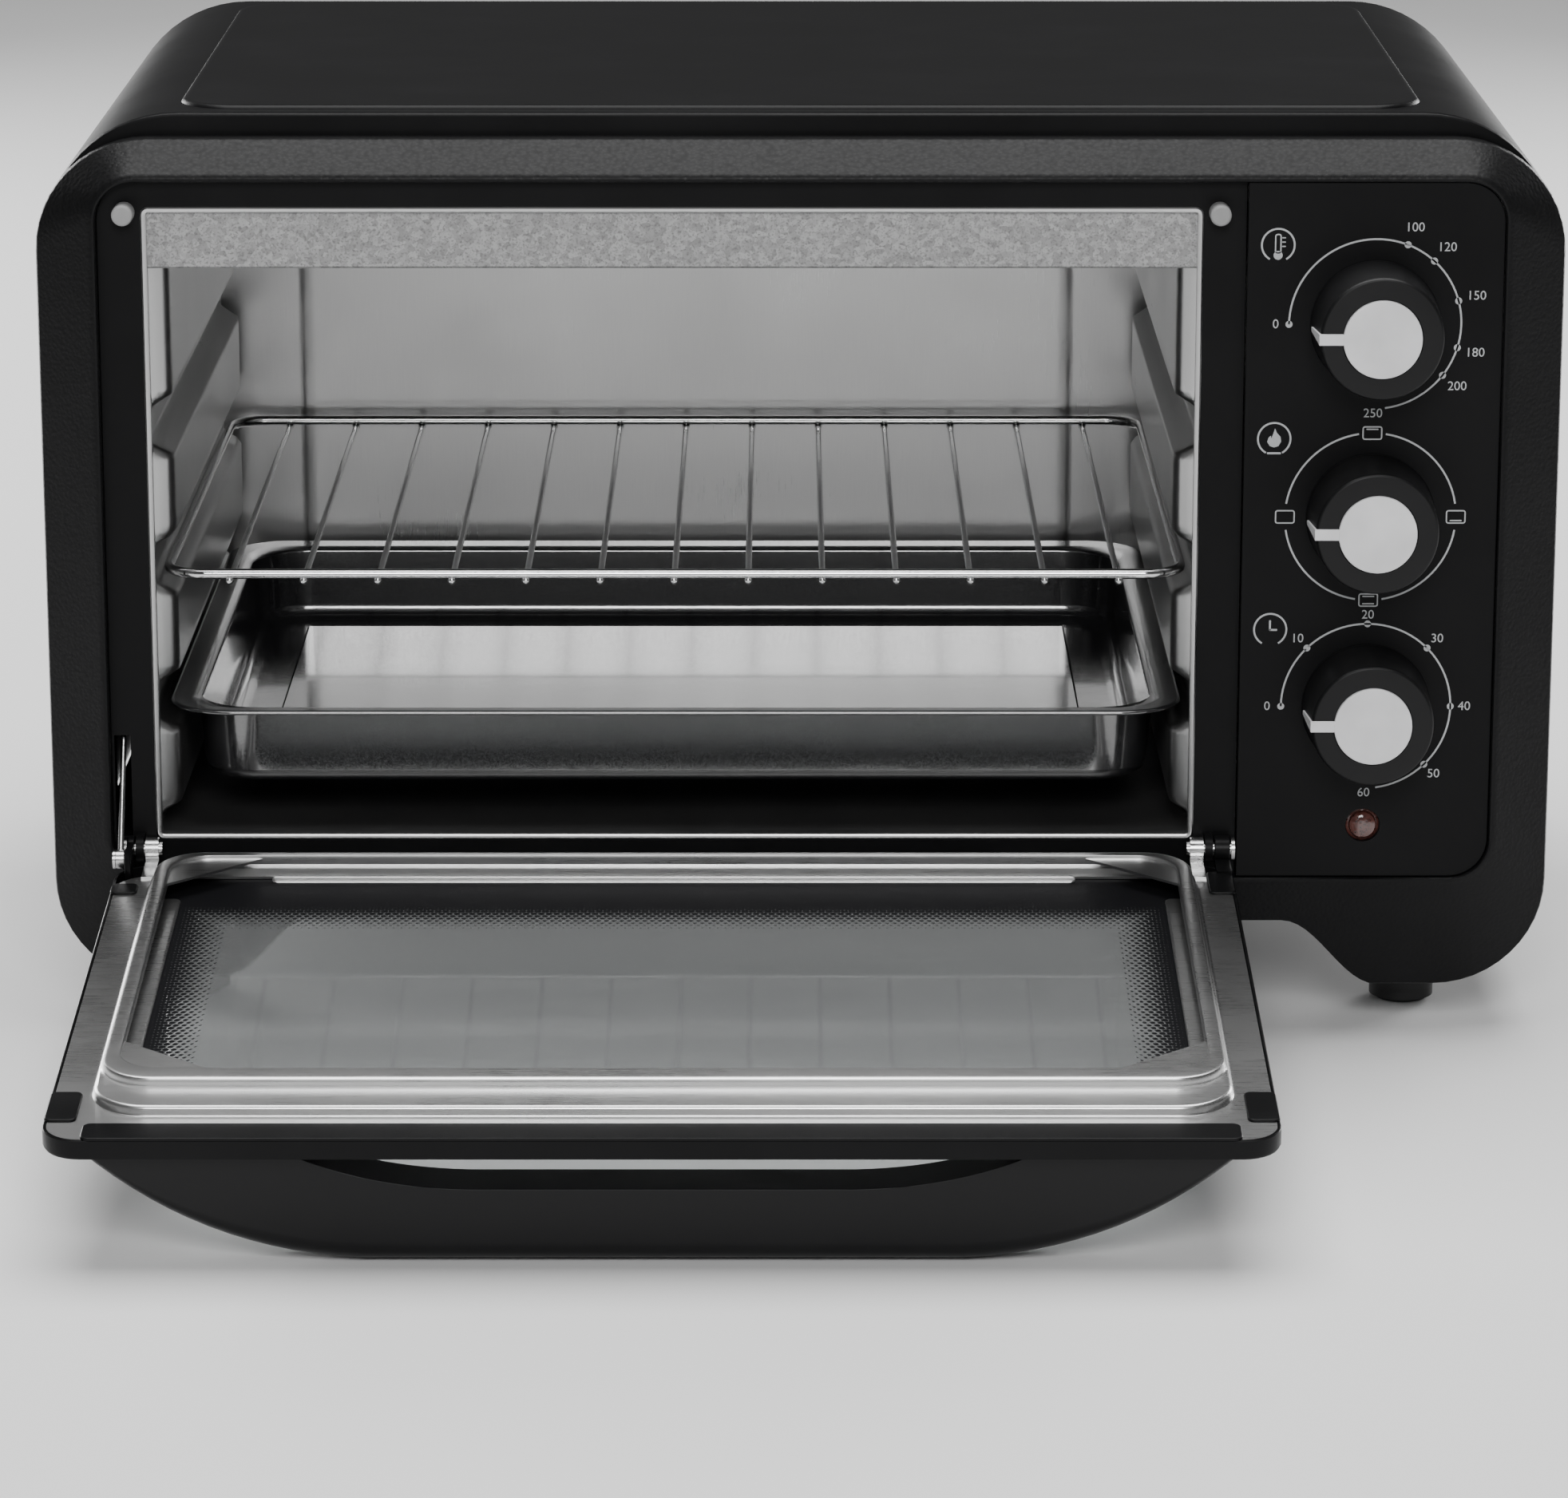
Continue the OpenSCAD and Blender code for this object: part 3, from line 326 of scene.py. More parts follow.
class Value:
    """A shader socket that takes part in Python sums."""

    def __init__(self, tree, socket):
        self.tree = tree
        self.socket = socket

    def maths(self, operation, *others):
        node = self.tree.nodes.new("ShaderNodeMath")
        node.operation = operation
        for entry, item in zip(node.inputs, others):
            feed(self.tree, entry, item)
        return Value(self.tree, node.outputs[0])

    def __add__(self, other):
        return self.maths("ADD", self, other)

    def __sub__(self, other):
        return self.maths("SUBTRACT", self, other)

    def __rsub__(self, other):
        return self.maths("SUBTRACT", other, self)

    def __mul__(self, other):
        return self.maths("MULTIPLY", self, other)

    def __rmul__(self, other):
        return self.maths("MULTIPLY", other, self)

    def __abs__(self):
        return self.maths("ABSOLUTE", self)

    def __lt__(self, other):
        return self.maths("LESS_THAN", self, other)


def feed(tree, entry, item):
    if isinstance(item, Value):
        tree.links.new(item.socket, entry)
    else:
        entry.default_value = item


def add_node(tree, kind, settings=None, inputs=None, output=0):
    """Adds a node: its settings first, then its sockets' values or links."""
    node = tree.nodes.new(kind)
    for name, value in (settings or {}).items():
        setattr(node, name, value)
    for name, item in (inputs or {}).items():
        feed(tree, node.inputs[name], item)
    return Value(tree, node.outputs[output])


class Paint:
    """A new material with one main shader."""

    def __init__(self, name, colour, roughness, metallic=0.0, **sockets):
        self.material = bpy.data.materials.new(name)
        self.material.use_nodes = True
        self.tree = self.material.node_tree
        self.shader = self.tree.nodes["Principled BSDF"]
        self.place = self.node("ShaderNodeTexCoord", output=3)
        self.set("Base Color", (*colour, 1) if isinstance(colour, tuple) else colour)
        self.set("Roughness", roughness)
        self.set("Metallic", metallic)
        for socket, value in sockets.items():
            self.set(socket.replace("_", " "), value)

    def node(self, kind, settings=None, inputs=None, output=0):
        return add_node(self.tree, kind, settings, inputs, output)

    def set(self, socket, item):
        feed(self.tree, self.shader.inputs[socket], item)

    def noise(self, size, detail=4.0, stretch=(1, 1, 1), rough=0.55):
        """Noise whose grains are about size across, stretched along an axis where that number is small."""
        place = self.node("ShaderNodeVectorMath", {"operation": "MULTIPLY"}, {0: self.place, 1: stretch})
        inputs = {"Vector": place, "Scale": 1 / size, "Detail": detail, "Roughness": rough}
        return self.node("ShaderNodeTexNoise", None, inputs)

    def cells(self, size, feature="F1", output=0):
        inputs = {"Vector": self.place, "Scale": 1 / size}
        return self.node("ShaderNodeTexVoronoi", {"feature": feature}, inputs, output)

    def ramp(self, value, low, high, start=0.3, end=0.7):
        """Maps a value from start..end to low..high."""
        inputs = {"Value": value, 1: start, 2: end, 3: low, 4: high}
        return self.node("ShaderNodeMapRange", {"clamp": True}, inputs)

    def mix(self, factor, first, second):
        """Mixes two colours."""
        node = self.tree.nodes.new("ShaderNodeMix")
        node.data_type = "RGBA"
        for number, item in ((0, factor), (6, first), (7, second)):
            if isinstance(item, tuple):
                item = (*item, 1)
            feed(self.tree, node.inputs[number], item)
        return Value(self.tree, node.outputs[2])

    def tint(self, pattern, first, second):
        """Lets a pattern vary the colour between two."""
        self.set("Base Color", self.mix(self.ramp(pattern, 0, 1), first, second))

    def polish(self, pattern, *levels):
        """Lets a pattern vary the roughness, as ramp does."""
        self.set("Roughness", self.ramp(pattern, *levels))

    def bump(self, height, depth):
        inputs = {"Height": height, "Distance": depth}
        self.set("Normal", self.node("ShaderNodeBump", None, inputs))

    def axis(self, number):
        """One coordinate of the surface's place."""
        return self.node("ShaderNodeSeparateXYZ", None, {0: self.place}, number)


def black_enamel_paint(name, peel, depth, roughness):
    """Powder coat: satin black with an orange-peel grain."""
    paint = Paint(name, (0.012, 0.012, 0.013), roughness)
    grain = paint.noise(peel, 3)
    blotch = paint.noise(38 * mm, 3)
    dark, light = (0.004, 0.004, 0.0043), (0.006, 0.006, 0.0064)
    paint.tint(blotch, dark, light)
    paint.polish(blotch, roughness - 0.03, roughness + 0.04)
    paint.bump(grain, depth)
    paint.set("Specular IOR Level", 0.11)
    return paint.material


def leather_grain_paint(name):
    """Black moulded plastic with a fine leather grain."""
    paint = Paint(name, (0.012, 0.012, 0.013), 0.42)
    grain = paint.cells(1.1 * mm, "SMOOTH_F1")
    fine = paint.noise(0.5 * mm, 2)
    cloud = paint.noise(45 * mm, 3)
    dark, light = (0.0045, 0.0045, 0.0048), (0.007, 0.007, 0.0074)
    paint.tint(cloud, dark, light)
    paint.polish(grain, 0.36, 0.5, 0.1, 0.7)
    paint.bump(grain + 0.35 * fine, 0.09 * mm)
    paint.set("Specular IOR Level", 0.14)
    return paint.material


def satin_steel(name, along, tone=0.56, roughness=0.3, grain=0.25 * mm):
    """Rolled sheet with fine streaks along one axis and a faint cloudiness."""
    paint = Paint(name, (tone, tone, tone), roughness, 1.0)
    stretch = [1, 1, 1]
    stretch[along] = 0.02
    streak = paint.noise(grain, 5, tuple(stretch))
    cloud = paint.noise(60 * mm, 3)
    light = (tone * 1.03, tone * 1.03, tone * 1.02)
    dark = (tone * 0.96, tone * 0.96, tone * 0.965)
    paint.set("Base Color", paint.mix(paint.ramp(streak, 0, 1, 0.25, 0.75), dark, light))
    fine = paint.ramp(streak, roughness - 0.02, roughness + 0.03)
    paint.set("Roughness", fine + paint.ramp(cloud, -0.02, 0.03))
    paint.bump(streak, 0.002 * mm)
    return paint.material


def galvanised_steel(name, tone=0.36):
    """Grey zinc-coated sheet: small spangles and dark specks."""
    paint = Paint(name, (tone, tone, tone), 0.5, 0.75)
    spangle = paint.cells(1.6 * mm, "F1", 1)
    shade = paint.node("ShaderNodeSeparateColor", None, {0: spangle}, 0)
    speck = paint.noise(0.7 * mm, 3)
    tint = paint.mix(paint.ramp(shade, 0, 1, 0, 1), (tone * 0.72,) * 3, (tone * 1.2,) * 3)
    paint.set("Base Color", paint.mix(paint.ramp(speck, 0, 0.7, 0.5, 0.7), tint, (tone * 0.35,) * 3))
    paint.polish(shade, 0.42, 0.62, 0, 1)
    paint.bump(speck, 0.02 * mm)
    return paint.material


def chrome_wire(name, tone=0.72, roughness=0.12):
    """Bright plating with faint drawing lines and dull patches."""
    paint = Paint(name, (tone, tone, tone), roughness, 1.0)
    patch = paint.noise(9 * mm, 4)
    line = paint.noise(0.35 * mm, 3)
    paint.tint(patch, (tone * 0.88,) * 3, (tone * 1.04,) * 3)
    paint.polish(patch, roughness - 0.04, roughness + 0.1)
    paint.bump(line, 0.01 * mm)
    return paint.material


def gloss_enamel(name):
    """Vitreous enamel: deep black gloss with a slight ripple and tiny pits."""
    paint = Paint(name, (0.012, 0.012, 0.013), 0.12, IOR=2.3, Coat_Weight=0.6, Coat_Roughness=0.05)
    ripple = paint.noise(7 * mm, 2)
    pit = paint.noise(0.6 * mm, 2)
    fleck = paint.noise(1.1 * mm, 3)
    paint.set("Base Color", paint.mix(paint.ramp(fleck, 0, 1, 0.62, 0.74), (0.011, 0.011, 0.012),
                                      (0.05, 0.05, 0.052)))
    paint.polish(pit, 0.1, 0.22)
    paint.bump(ripple + 0.15 * pit, 0.05 * mm)
    return paint.material


def moulded_plastic(name, colour, roughness, gloss=0.4, grain=0.35 * mm, depth=0.015 * mm):
    """Moulded plastic with a fine spark-eroded grain and slight flow marks."""
    paint = Paint(name, colour, roughness)
    spark = paint.noise(grain, 3)
    flow = paint.noise(22 * mm, 3)
    light = tuple(min(1.0, c * 1.12) for c in colour)
    dark = tuple(c * 0.9 for c in colour)
    paint.tint(flow, dark, light)
    paint.polish(flow, roughness - 0.05, roughness + 0.05)
    paint.bump(spark, depth)
    paint.set("Specular IOR Level", gloss)
    return paint.material


def printed_ink(name, colour):
    """Screen-printed ink, a little uneven."""
    paint = Paint(name, colour, 0.5)
    film = paint.noise(0.8 * mm, 3)
    paint.tint(film, tuple(c * 0.9 for c in colour), colour)
    paint.polish(film, 0.45, 0.6)
    return paint.material


def dark_lens(name):
    """Smoky jewel plastic over an unlit lamp."""
    paint = Paint(name, (0.05, 0.012, 0.01), 0.08, Coat_Weight=1.0, Coat_Roughness=0.03)
    facet = paint.cells(1.3 * mm, "F1", 0)
    dark, light = (0.03, 0.01, 0.009), (0.09, 0.03, 0.024)
    paint.set("Base Color", paint.mix(paint.ramp(facet, 0, 1, 0, 0.6), dark, light))
    paint.polish(facet, 0.06, 0.14, 0, 0.6)
    paint.bump(facet, 0.12 * mm)
    return paint.material


def oxidised_tube(name):
    """Heater sheath, dark with a bluish and brownish bloom."""
    paint = Paint(name, (0.09, 0.085, 0.08), 0.45, 0.8)
    bloom = paint.noise(14 * mm, 4)
    fine = paint.noise(0.8 * mm, 3)
    paint.tint(bloom, (0.05, 0.055, 0.065), (0.13, 0.11, 0.09))
    paint.polish(fine, 0.38, 0.58)
    paint.bump(fine, 0.02 * mm)
    return paint.material


def ceramic(name):
    paint = Paint(name, (0.72, 0.7, 0.64), 0.6)
    fine = paint.noise(0.9 * mm, 4)
    paint.tint(fine, (0.62, 0.6, 0.55), (0.76, 0.74, 0.69))
    paint.polish(fine, 0.5, 0.7)
    paint.bump(fine, 0.03 * mm)
    return paint.material


def rubber(name):
    paint = Paint(name, (0.02, 0.02, 0.02), 0.8)
    fine = paint.noise(0.7 * mm, 4)
    paint.tint(fine, (0.014, 0.014, 0.014), (0.03, 0.03, 0.029))
    paint.polish(fine, 0.7, 0.9)
    paint.bump(fine, 0.04 * mm)
    return paint.material


def printed_glass():
    """Glass with a pale painted haze, and black ink: solid at the edge, then dots that shrink inwards."""
    # Painted light: the pale base colour and the tenth of the glass that does not transmit give a whitish haze
    # that stands in for the lit floor seen through the pane.
    paint = Paint("printed_glass", (0.78, 0.8, 0.8), 0.03)
    paint.set("Transmission Weight", 0.9)
    paint.set("IOR", 1.5)
    paint.set("Specular IOR Level", 0.2)
    x = abs(paint.axis(0) - middle)
    s = (hinge.y - paint.axis(1)) * (1 / cos(door_rest))
    half, near, far = 152 * mm, 12 * mm, 178 * mm
    side = (half - x) * (1 / mm)
    heel = (s - near) * (1 / mm)
    solid_side, solid_heel, fade = 4.5, 25.0, 15.0
    across = (side - solid_side) * (1 / fade)
    along = (heel - solid_heel) * (1 / fade)
    inwards = across.maths("MINIMUM", across, along)
    pitch = 2.3 * mm
    row = s * (1 / (pitch * 0.866))
    number = row.maths("FLOOR", row)
    odd = number.maths("MODULO", number, 2.0)
    column = (paint.axis(0) + 1.0) * (1 / pitch) + 0.5 * odd
    cell_x = column.maths("FRACT", column) - 0.5
    cell_y = (row.maths("FRACT", row) - 0.5) * 0.866
    reach = (cell_x * cell_x + cell_y * cell_y).maths("SQRT", cell_x * cell_x + cell_y * cell_y)
    size = paint.ramp(inwards, 0.62, 0.1, 0.0, 1.0)
    dots = (reach < size) * (inwards < 1.0)
    ink = dots.maths("MAXIMUM", dots, inwards < 0.0)
    film = paint.noise(30 * mm, 3)
    paint.polish(film, 0.02, 0.06)
    black = paint.node("ShaderNodeBsdfPrincipled", None, {"Base Color": (0.008, 0.008, 0.009, 1),
                                                          "Roughness": 0.5, "Specular IOR Level": 0.03})
    clear = Value(paint.tree, paint.shader.outputs[0])
    mixed = paint.node("ShaderNodeMixShader", None, {0: ink, 1: clear, 2: black})
    output = paint.tree.nodes["Material Output"]
    feed(paint.tree, output.inputs["Surface"], mixed)
    return paint.material


BLACK_PAINT = black_enamel_paint("black_paint", 0.9 * mm, 0.02 * mm, 0.33)
BLACK_PLATE = black_enamel_paint("black_plate_paint", 0.7 * mm, 0.012 * mm, 0.4)
BEZEL_PLASTIC = leather_grain_paint("bezel_grain")
HANDLE_PLASTIC = moulded_plastic("handle_plastic", (0.006, 0.006, 0.0064), 0.36, 0.2)
KNOB_PLASTIC = moulded_plastic("knob_plastic", (0.007, 0.007, 0.0074), 0.4, 0.22)
CAP_PLASTIC = moulded_plastic("cap_plastic", (0.7, 0.7, 0.71), 0.34)
BUMPER_PLASTIC = moulded_plastic("bumper_plastic", (0.28, 0.28, 0.28), 0.5)
FOOT_PLASTIC = moulded_plastic("foot_plastic", (0.018, 0.018, 0.018), 0.5)
DEVICE_PLASTIC = moulded_plastic("device_plastic", (0.22, 0.2, 0.16), 0.55)
WALL_STEEL = satin_steel("cavity_steel", 1, 0.52, 0.3)
BACK_STEEL = satin_steel("cavity_back_steel", 2, 0.5, 0.3)
FLOOR_STEEL = satin_steel("cavity_floor_steel", 1, 0.34, 0.4)
PAN_STEEL = satin_steel("pan_steel", 0, 0.6, 0.28)
ZINC_SHEET = galvanised_steel("galvanised_sheet")
BRIGHT_STEEL = chrome_wire("bright_steel", 0.66, 0.2)
RACK_CHROME = chrome_wire("rack_chrome", 0.74, 0.1)
SPRING_STEEL = chrome_wire("spring_steel", 0.35, 0.3)
TRAY_ENAMEL = gloss_enamel("tray_enamel")
INK = printed_ink("dial_ink", (0.46, 0.47, 0.48))
LENS = dark_lens("lamp_lens")
SHEATH = oxidised_tube("heater_sheath")
CERAMIC = ceramic("ceramic")
RUBBER = rubber("foot_rubber")
PRINTED_GLASS = printed_glass()

# ------------------------------------------------------------------ front frame and casing

FRAME_R = 34 * mm
RECESS_R = 12 * mm
SLOPE = 14 * mm
CREST = 0.9 * mm
COVER_R = 42 * mm


def grown(rect, by, height):
    """A rounded rectangle made larger by a margin, at another height."""
    x0, x1, y0, y1, radius = rect
    return x0 - by, x1 + by, y0 - by, y1 + by, max(radius + by, 0.1 * mm), height


def front_frame():
    """The sloping frame: outer collar, slope, rounded crest and the wall of the recess."""
    outer = (frame_low.x, frame_high.x, frame_low.z, frame_high.z, FRAME_R)
    recess = (-recess_x, recess_x, recess_low, recess_high, RECESS_R)
    depth = frame_high.y - front
    steps = [
        grown(outer, -2 * mm, -depth),
        grown(outer, 0, -depth),
        grown(outer, 0, -SLOPE - 0.6 * mm),
        grown(outer, -0.5 * mm, -SLOPE + 0.8 * mm),
        grown(recess, 2.6 * mm, -0.9 * mm),
        grown(recess, 1.6 * mm, -0.25 * mm),
        grown(recess, CREST, 0),
        grown(recess, 0.35 * mm, -0.12 * mm),
        grown(recess, 0, -0.6 * mm),
        grown(recess, 0, -depth),
        grown(recess, 1.6 * mm, -depth),
        grown(recess, 1.6 * mm, -9 * mm),
        grown(outer, -2.2 * mm, -SLOPE - 3 * mm),
        grown(outer, -2 * mm, -depth),
    ]
    piece = loft("front_frame", steps, 12, ring=True)
    cut(piece, arch_tool())
    soften(piece, 0.8 * mm, 3, 50)
    stand(piece, ON_FRONT)
    return finish(piece, "oven", BEZEL_PLASTIC, ("front_frame",), 32)


def arch_tool():
    """A solid of the gap between the frame's feet, with soft flanks."""
    half, flank = 148 * mm, 31 * mm
    low, rise = frame_low.z, 23 * mm
    count = 12
    shares = [number / count for number in range(count + 1)]
    edge = [(half + flank * (1 - share), low + rise * (1 - cos(pi * share)) / 2) for share in shares]
    outline = [(-edge[0][0], low - 8 * mm), *[(-x, y) for x, y in edge], *[(x, y) for x, y in reversed(edge)],
               (edge[0][0], low - 8 * mm)]
    return prism("arch_tool", outline, -60 * mm, 10 * mm)


def prism(name, outline, low, high):
    """A solid of an outline of points, between two heights."""
    piece = path_of(name, [(x, y, low) for x, y in outline])
    open_edit(piece)
    bpy.ops.mesh.select_all(action="SELECT")
    bpy.ops.mesh.edge_face_add()
    extrude(0, 0, high - low)
    close_edit()
    tidy(piece)
    return piece


def outer_cover():
    """The wrap-round cover with its turned front and rear flanges, open at the bottom."""
    radius = COVER_R
    top = cover_high.z - 1.2 * mm
    low = cover_low.z
    y0 = -(cover_low.y - front)
    y1 = -(cover_high.y - front)
    body = (cover_low.x, cover_high.x, low - radius - 4 * mm, top, radius)
    steps = [
        grown(body, -9 * mm, y0),
        grown(body, -1.4 * mm, y0),
        grown(body, -0.5 * mm, y0 - 0.3 * mm),
        grown(body, 0, y0 - 1.2 * mm),
        grown(body, 0, (y0 + y1) / 2),
        grown(body, 0, y1 + 1.2 * mm),
        grown(body, -0.4 * mm, y1 + 0.3 * mm),
        grown(body, -1 * mm, y1),
        grown(body, -1.2 * mm, y1 + 1 * mm),
        grown(body, -1.2 * mm, y0 - 1.2 * mm),
        grown(body, -9 * mm, y0 - 1.2 * mm),
        grown(body, -9 * mm, y0),
    ]
    piece = loft("outer_cover", steps, 14, ring=True)
    open_edit(piece)
    bpy.ops.mesh.select_all(action="SELECT")
    bpy.ops.mesh.bisect(plane_co=(0, low, 0), plane_no=(0, 1, 0), clear_inner=True, use_fill=True)
    close_edit()
    stand(piece, ON_FRONT)
    finish(piece, "oven", BLACK_PAINT, ("outer_cover",), 30)


def cover_panel():
    """The panel pressed up out of the cover's top."""
    half = cover_high.x + 1 * mm - COVER_R
    base = cover_high.z - 1.3 * mm
    rect = (-half, half, front + 26 * mm, cover_high.y - 12 * mm, 18 * mm)
    piece = loft("cover_panel", [
        grown(rect, 0, base),
        grown(rect, -0.25 * mm, base + 0.4 * mm),
        grown(rect, -0.8 * mm, base + 0.95 * mm),
        grown(rect, -1.5 * mm, base + 1.2 * mm),
        grown(rect, -2.6 * mm, base + 1.3 * mm)], 10)
    finish(piece, "oven", BLACK_PAINT, (), 60)


front_frame()
outer_cover()
cover_panel()

# ------------------------------------------------------------------ cavity

GROOVES = [floor_z + (41 + 43 * number) * mm for number in range(3)]
GROOVE_H = 9 * mm
GROOVE_EDGE = 5 * mm
WALL_DEPTH = 7 * mm
WALL_STEPS = 98
# How far from the wall's end, in millimetres, the pressing has which share of its depth
SWELL = [(9, 0.0001), (9.5, 0.3), (10.6, 0.62), (12.2, 0.86), (14.5, 0.97)]


def notch(gap):
    """1 in a groove, 0 on a pressed panel, and smooth between."""
    if gap < GROOVE_H / 2:
        return 1.0
    if gap < GROOVE_H / 2 + GROOVE_EDGE:
        return (1 + cos(pi * (gap - GROOVE_H / 2) / GROOVE_EDGE)) / 2
    return 0.0


def bulge(z, depth):
    """How far the side wall stands inwards at height z."""
    groove = max(notch(abs(z - middle_z)) for middle_z in GROOVES)
    ends = (1 - notch(z - floor_z + GROOVE_H / 2 - 4 * mm)) * (1 - notch(roof_z - z + GROOVE_H / 2 - 4 * mm))
    return depth * (1 - groove) * ends


def side_wall(node, face_x, inwards, depth):
    """A side wall whose pressed panels swell from flat margins at the front and the back."""
    y0, y1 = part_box(node)[0].y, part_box(node)[1].y
    start, end = y0 + 17 * mm, y1 - 13 * mm
    rise = (roof_z - floor_z) / WALL_STEPS
    chain = [(face_x + inwards * bulge(floor_z + rise * i, depth), start, floor_z + rise * i)
             for i in range(WALL_STEPS + 1)]
    piece = path_of(node, chain)
    open_edit(piece)
    for goal in (y0, y1):
        pick(piece, "verts", lambda vert: abs(vert.co.y - start) < 0.01 * mm)
        place, share = start, 1.0
        if goal == y1:
            extrude(0, end - start, 0)
            place = end
        for inset, part in sorted(SWELL, key=lambda step: -step[0]):
            step_y = goal + inset * mm if goal == y0 else goal - 0.8 * inset * mm
            extrude(0, step_y - place, 0)
            scale((part / share, 1, 1), (face_x, 0, 0))
            place, share = step_y, part
        scale((0, 1, 1), (face_x, 0, 0))
        extrude(0, goal - place, 0)
    bpy.ops.mesh.select_all(action="SELECT")
    bpy.ops.mesh.normals_make_consistent(inside=False)
    close_edit()
    facing = sum(polygon.normal.x for polygon in piece.data.polygons) * inwards > 0
    modify(piece, "SOLIDIFY", thickness=0.8 * mm, offset=-1 if facing else 1)
    return finish(piece, "oven", WALL_STEEL, (node,), 60)


def cavity_back():
    """The back sheet with its shallow pressed panel."""
    y = back_high.y
    rect = (back_low.x, back_high.x, back_low.z, back_high.z, 1 * mm)
    x0, x1, z0, z1, radius = rect
    panel = (x0 + 30 * mm, x1 - 30 * mm, z0 + 28 * mm, z1 - 28 * mm, 14 * mm)
    face = front - y
    steps = [
        grown(rect, 0, face),
        grown(rect, 0, face + 0.8 * mm),
        grown(panel, 3 * mm, face + 0.82 * mm),
        grown(panel, 1.2 * mm, face + 1.2 * mm),
        grown(panel, 0, face + 1.7 * mm),
        grown(panel, -3 * mm, face + 1.8 * mm),
    ]
    piece = loft("cavity_back", steps, 8)
    stand(piece, ON_FRONT)
    finish(piece, "oven", BACK_STEEL, ("cavity_back",), 60)


def cavity_rim():
    """The bright turned edge of the cavity's mouth."""
    x0, x1 = left_high.x - WALL_DEPTH, right_low.x + WALL_DEPTH
    rect = (x0, x1, floor_z, roof_z, 2.5 * mm)
    y = -(plate_low.y - front)
    steps = [grown(rect, -1.7 * mm, y - 4 * mm), grown(rect, -1.8 * mm, y + 0.1 * mm),
             grown(rect, -1.4 * mm, y + 0.45 * mm), grown(rect, -0.6 * mm, y + 0.5 * mm),
             grown(rect, -0.1 * mm, y + 0.1 * mm), grown(rect, -0.1 * mm, y - 4 * mm),
             grown(rect, -1.7 * mm, y - 4 * mm)]
    piece = loft("cavity_rim", steps, 4, ring=True)
    stand(piece, ON_FRONT)
    finish(piece, "oven", WALL_STEEL, (), 40)


def deflector():
    """The strip at the top of the mouth, with its rolled lower lip."""
    low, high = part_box("heat_deflector")
    y = -(low.y - front)
    rect = (low.x, high.x, low.z, high.z, 0.3 * mm)
    x0, x1, z0, z1, radius = rect
    steps = [(x0, x1, z0 + 0.8 * mm, z1, radius, y - 0.8 * mm), (x0, x1, z0 + 0.8 * mm, z1, radius, y)]
    sheet = loft("heat_deflector", steps, 2)
    points = [(x0, z0 + 0.9 * mm, y - 0.85 * mm), (x1, z0 + 0.9 * mm, y - 0.85 * mm)]
    lip = wire("deflector_lip", points, 1.7 * mm)
    shelf = loft("deflector_shelf", [(x0, x1, z0, z0 + 0.8 * mm, radius, y - 7 * mm),
                                     (x0, x1, z0, z0 + 0.8 * mm, radius, y - 0.8 * mm)], 2)
    piece = stand(join([sheet, lip, shelf]), ON_FRONT)
    piece.name = "heat_deflector"
    finish(piece, "oven", ZINC_SHEET, ("heat_deflector",), 40)


def rivets():
    """Domed rivet heads down both sides of the mouth."""
    low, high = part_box("cavity_rivets")
    y = (low.y + high.y) / 2
    heads = []
    for face_x, turn in ((left_high.x - WALL_DEPTH, 1), (right_low.x + WALL_DEPTH, -1)):
        for rise in (6, 14, 32, 51, 140):
            head = turned("rivet", [(2 * mm, 0), (1.95 * mm, 0.35 * mm), (1.6 * mm, 0.8 * mm),
                                    (1.0 * mm, 1.1 * mm), (0.3 * mm, 1.2 * mm)], 20)
            place = Matrix.Translation((face_x, y, floor_z + rise * mm))
            heads.append(stand(head, place @ Matrix.Rotation(turn * pi / 2, 4, "Y")))
    piece = join(heads)
    piece.name = "cavity_rivets"
    finish(piece, "oven", BRIGHT_STEEL, ("cavity_rivets",), 50)


side_wall("cavity_left_wall", left_high.x - WALL_DEPTH, 1, WALL_DEPTH)
side_wall("cavity_right_wall", right_low.x + WALL_DEPTH, -1, WALL_DEPTH)
cavity_back()
cavity_rim()
deflector()
rivets()

# ------------------------------------------------------------------ rack and tray


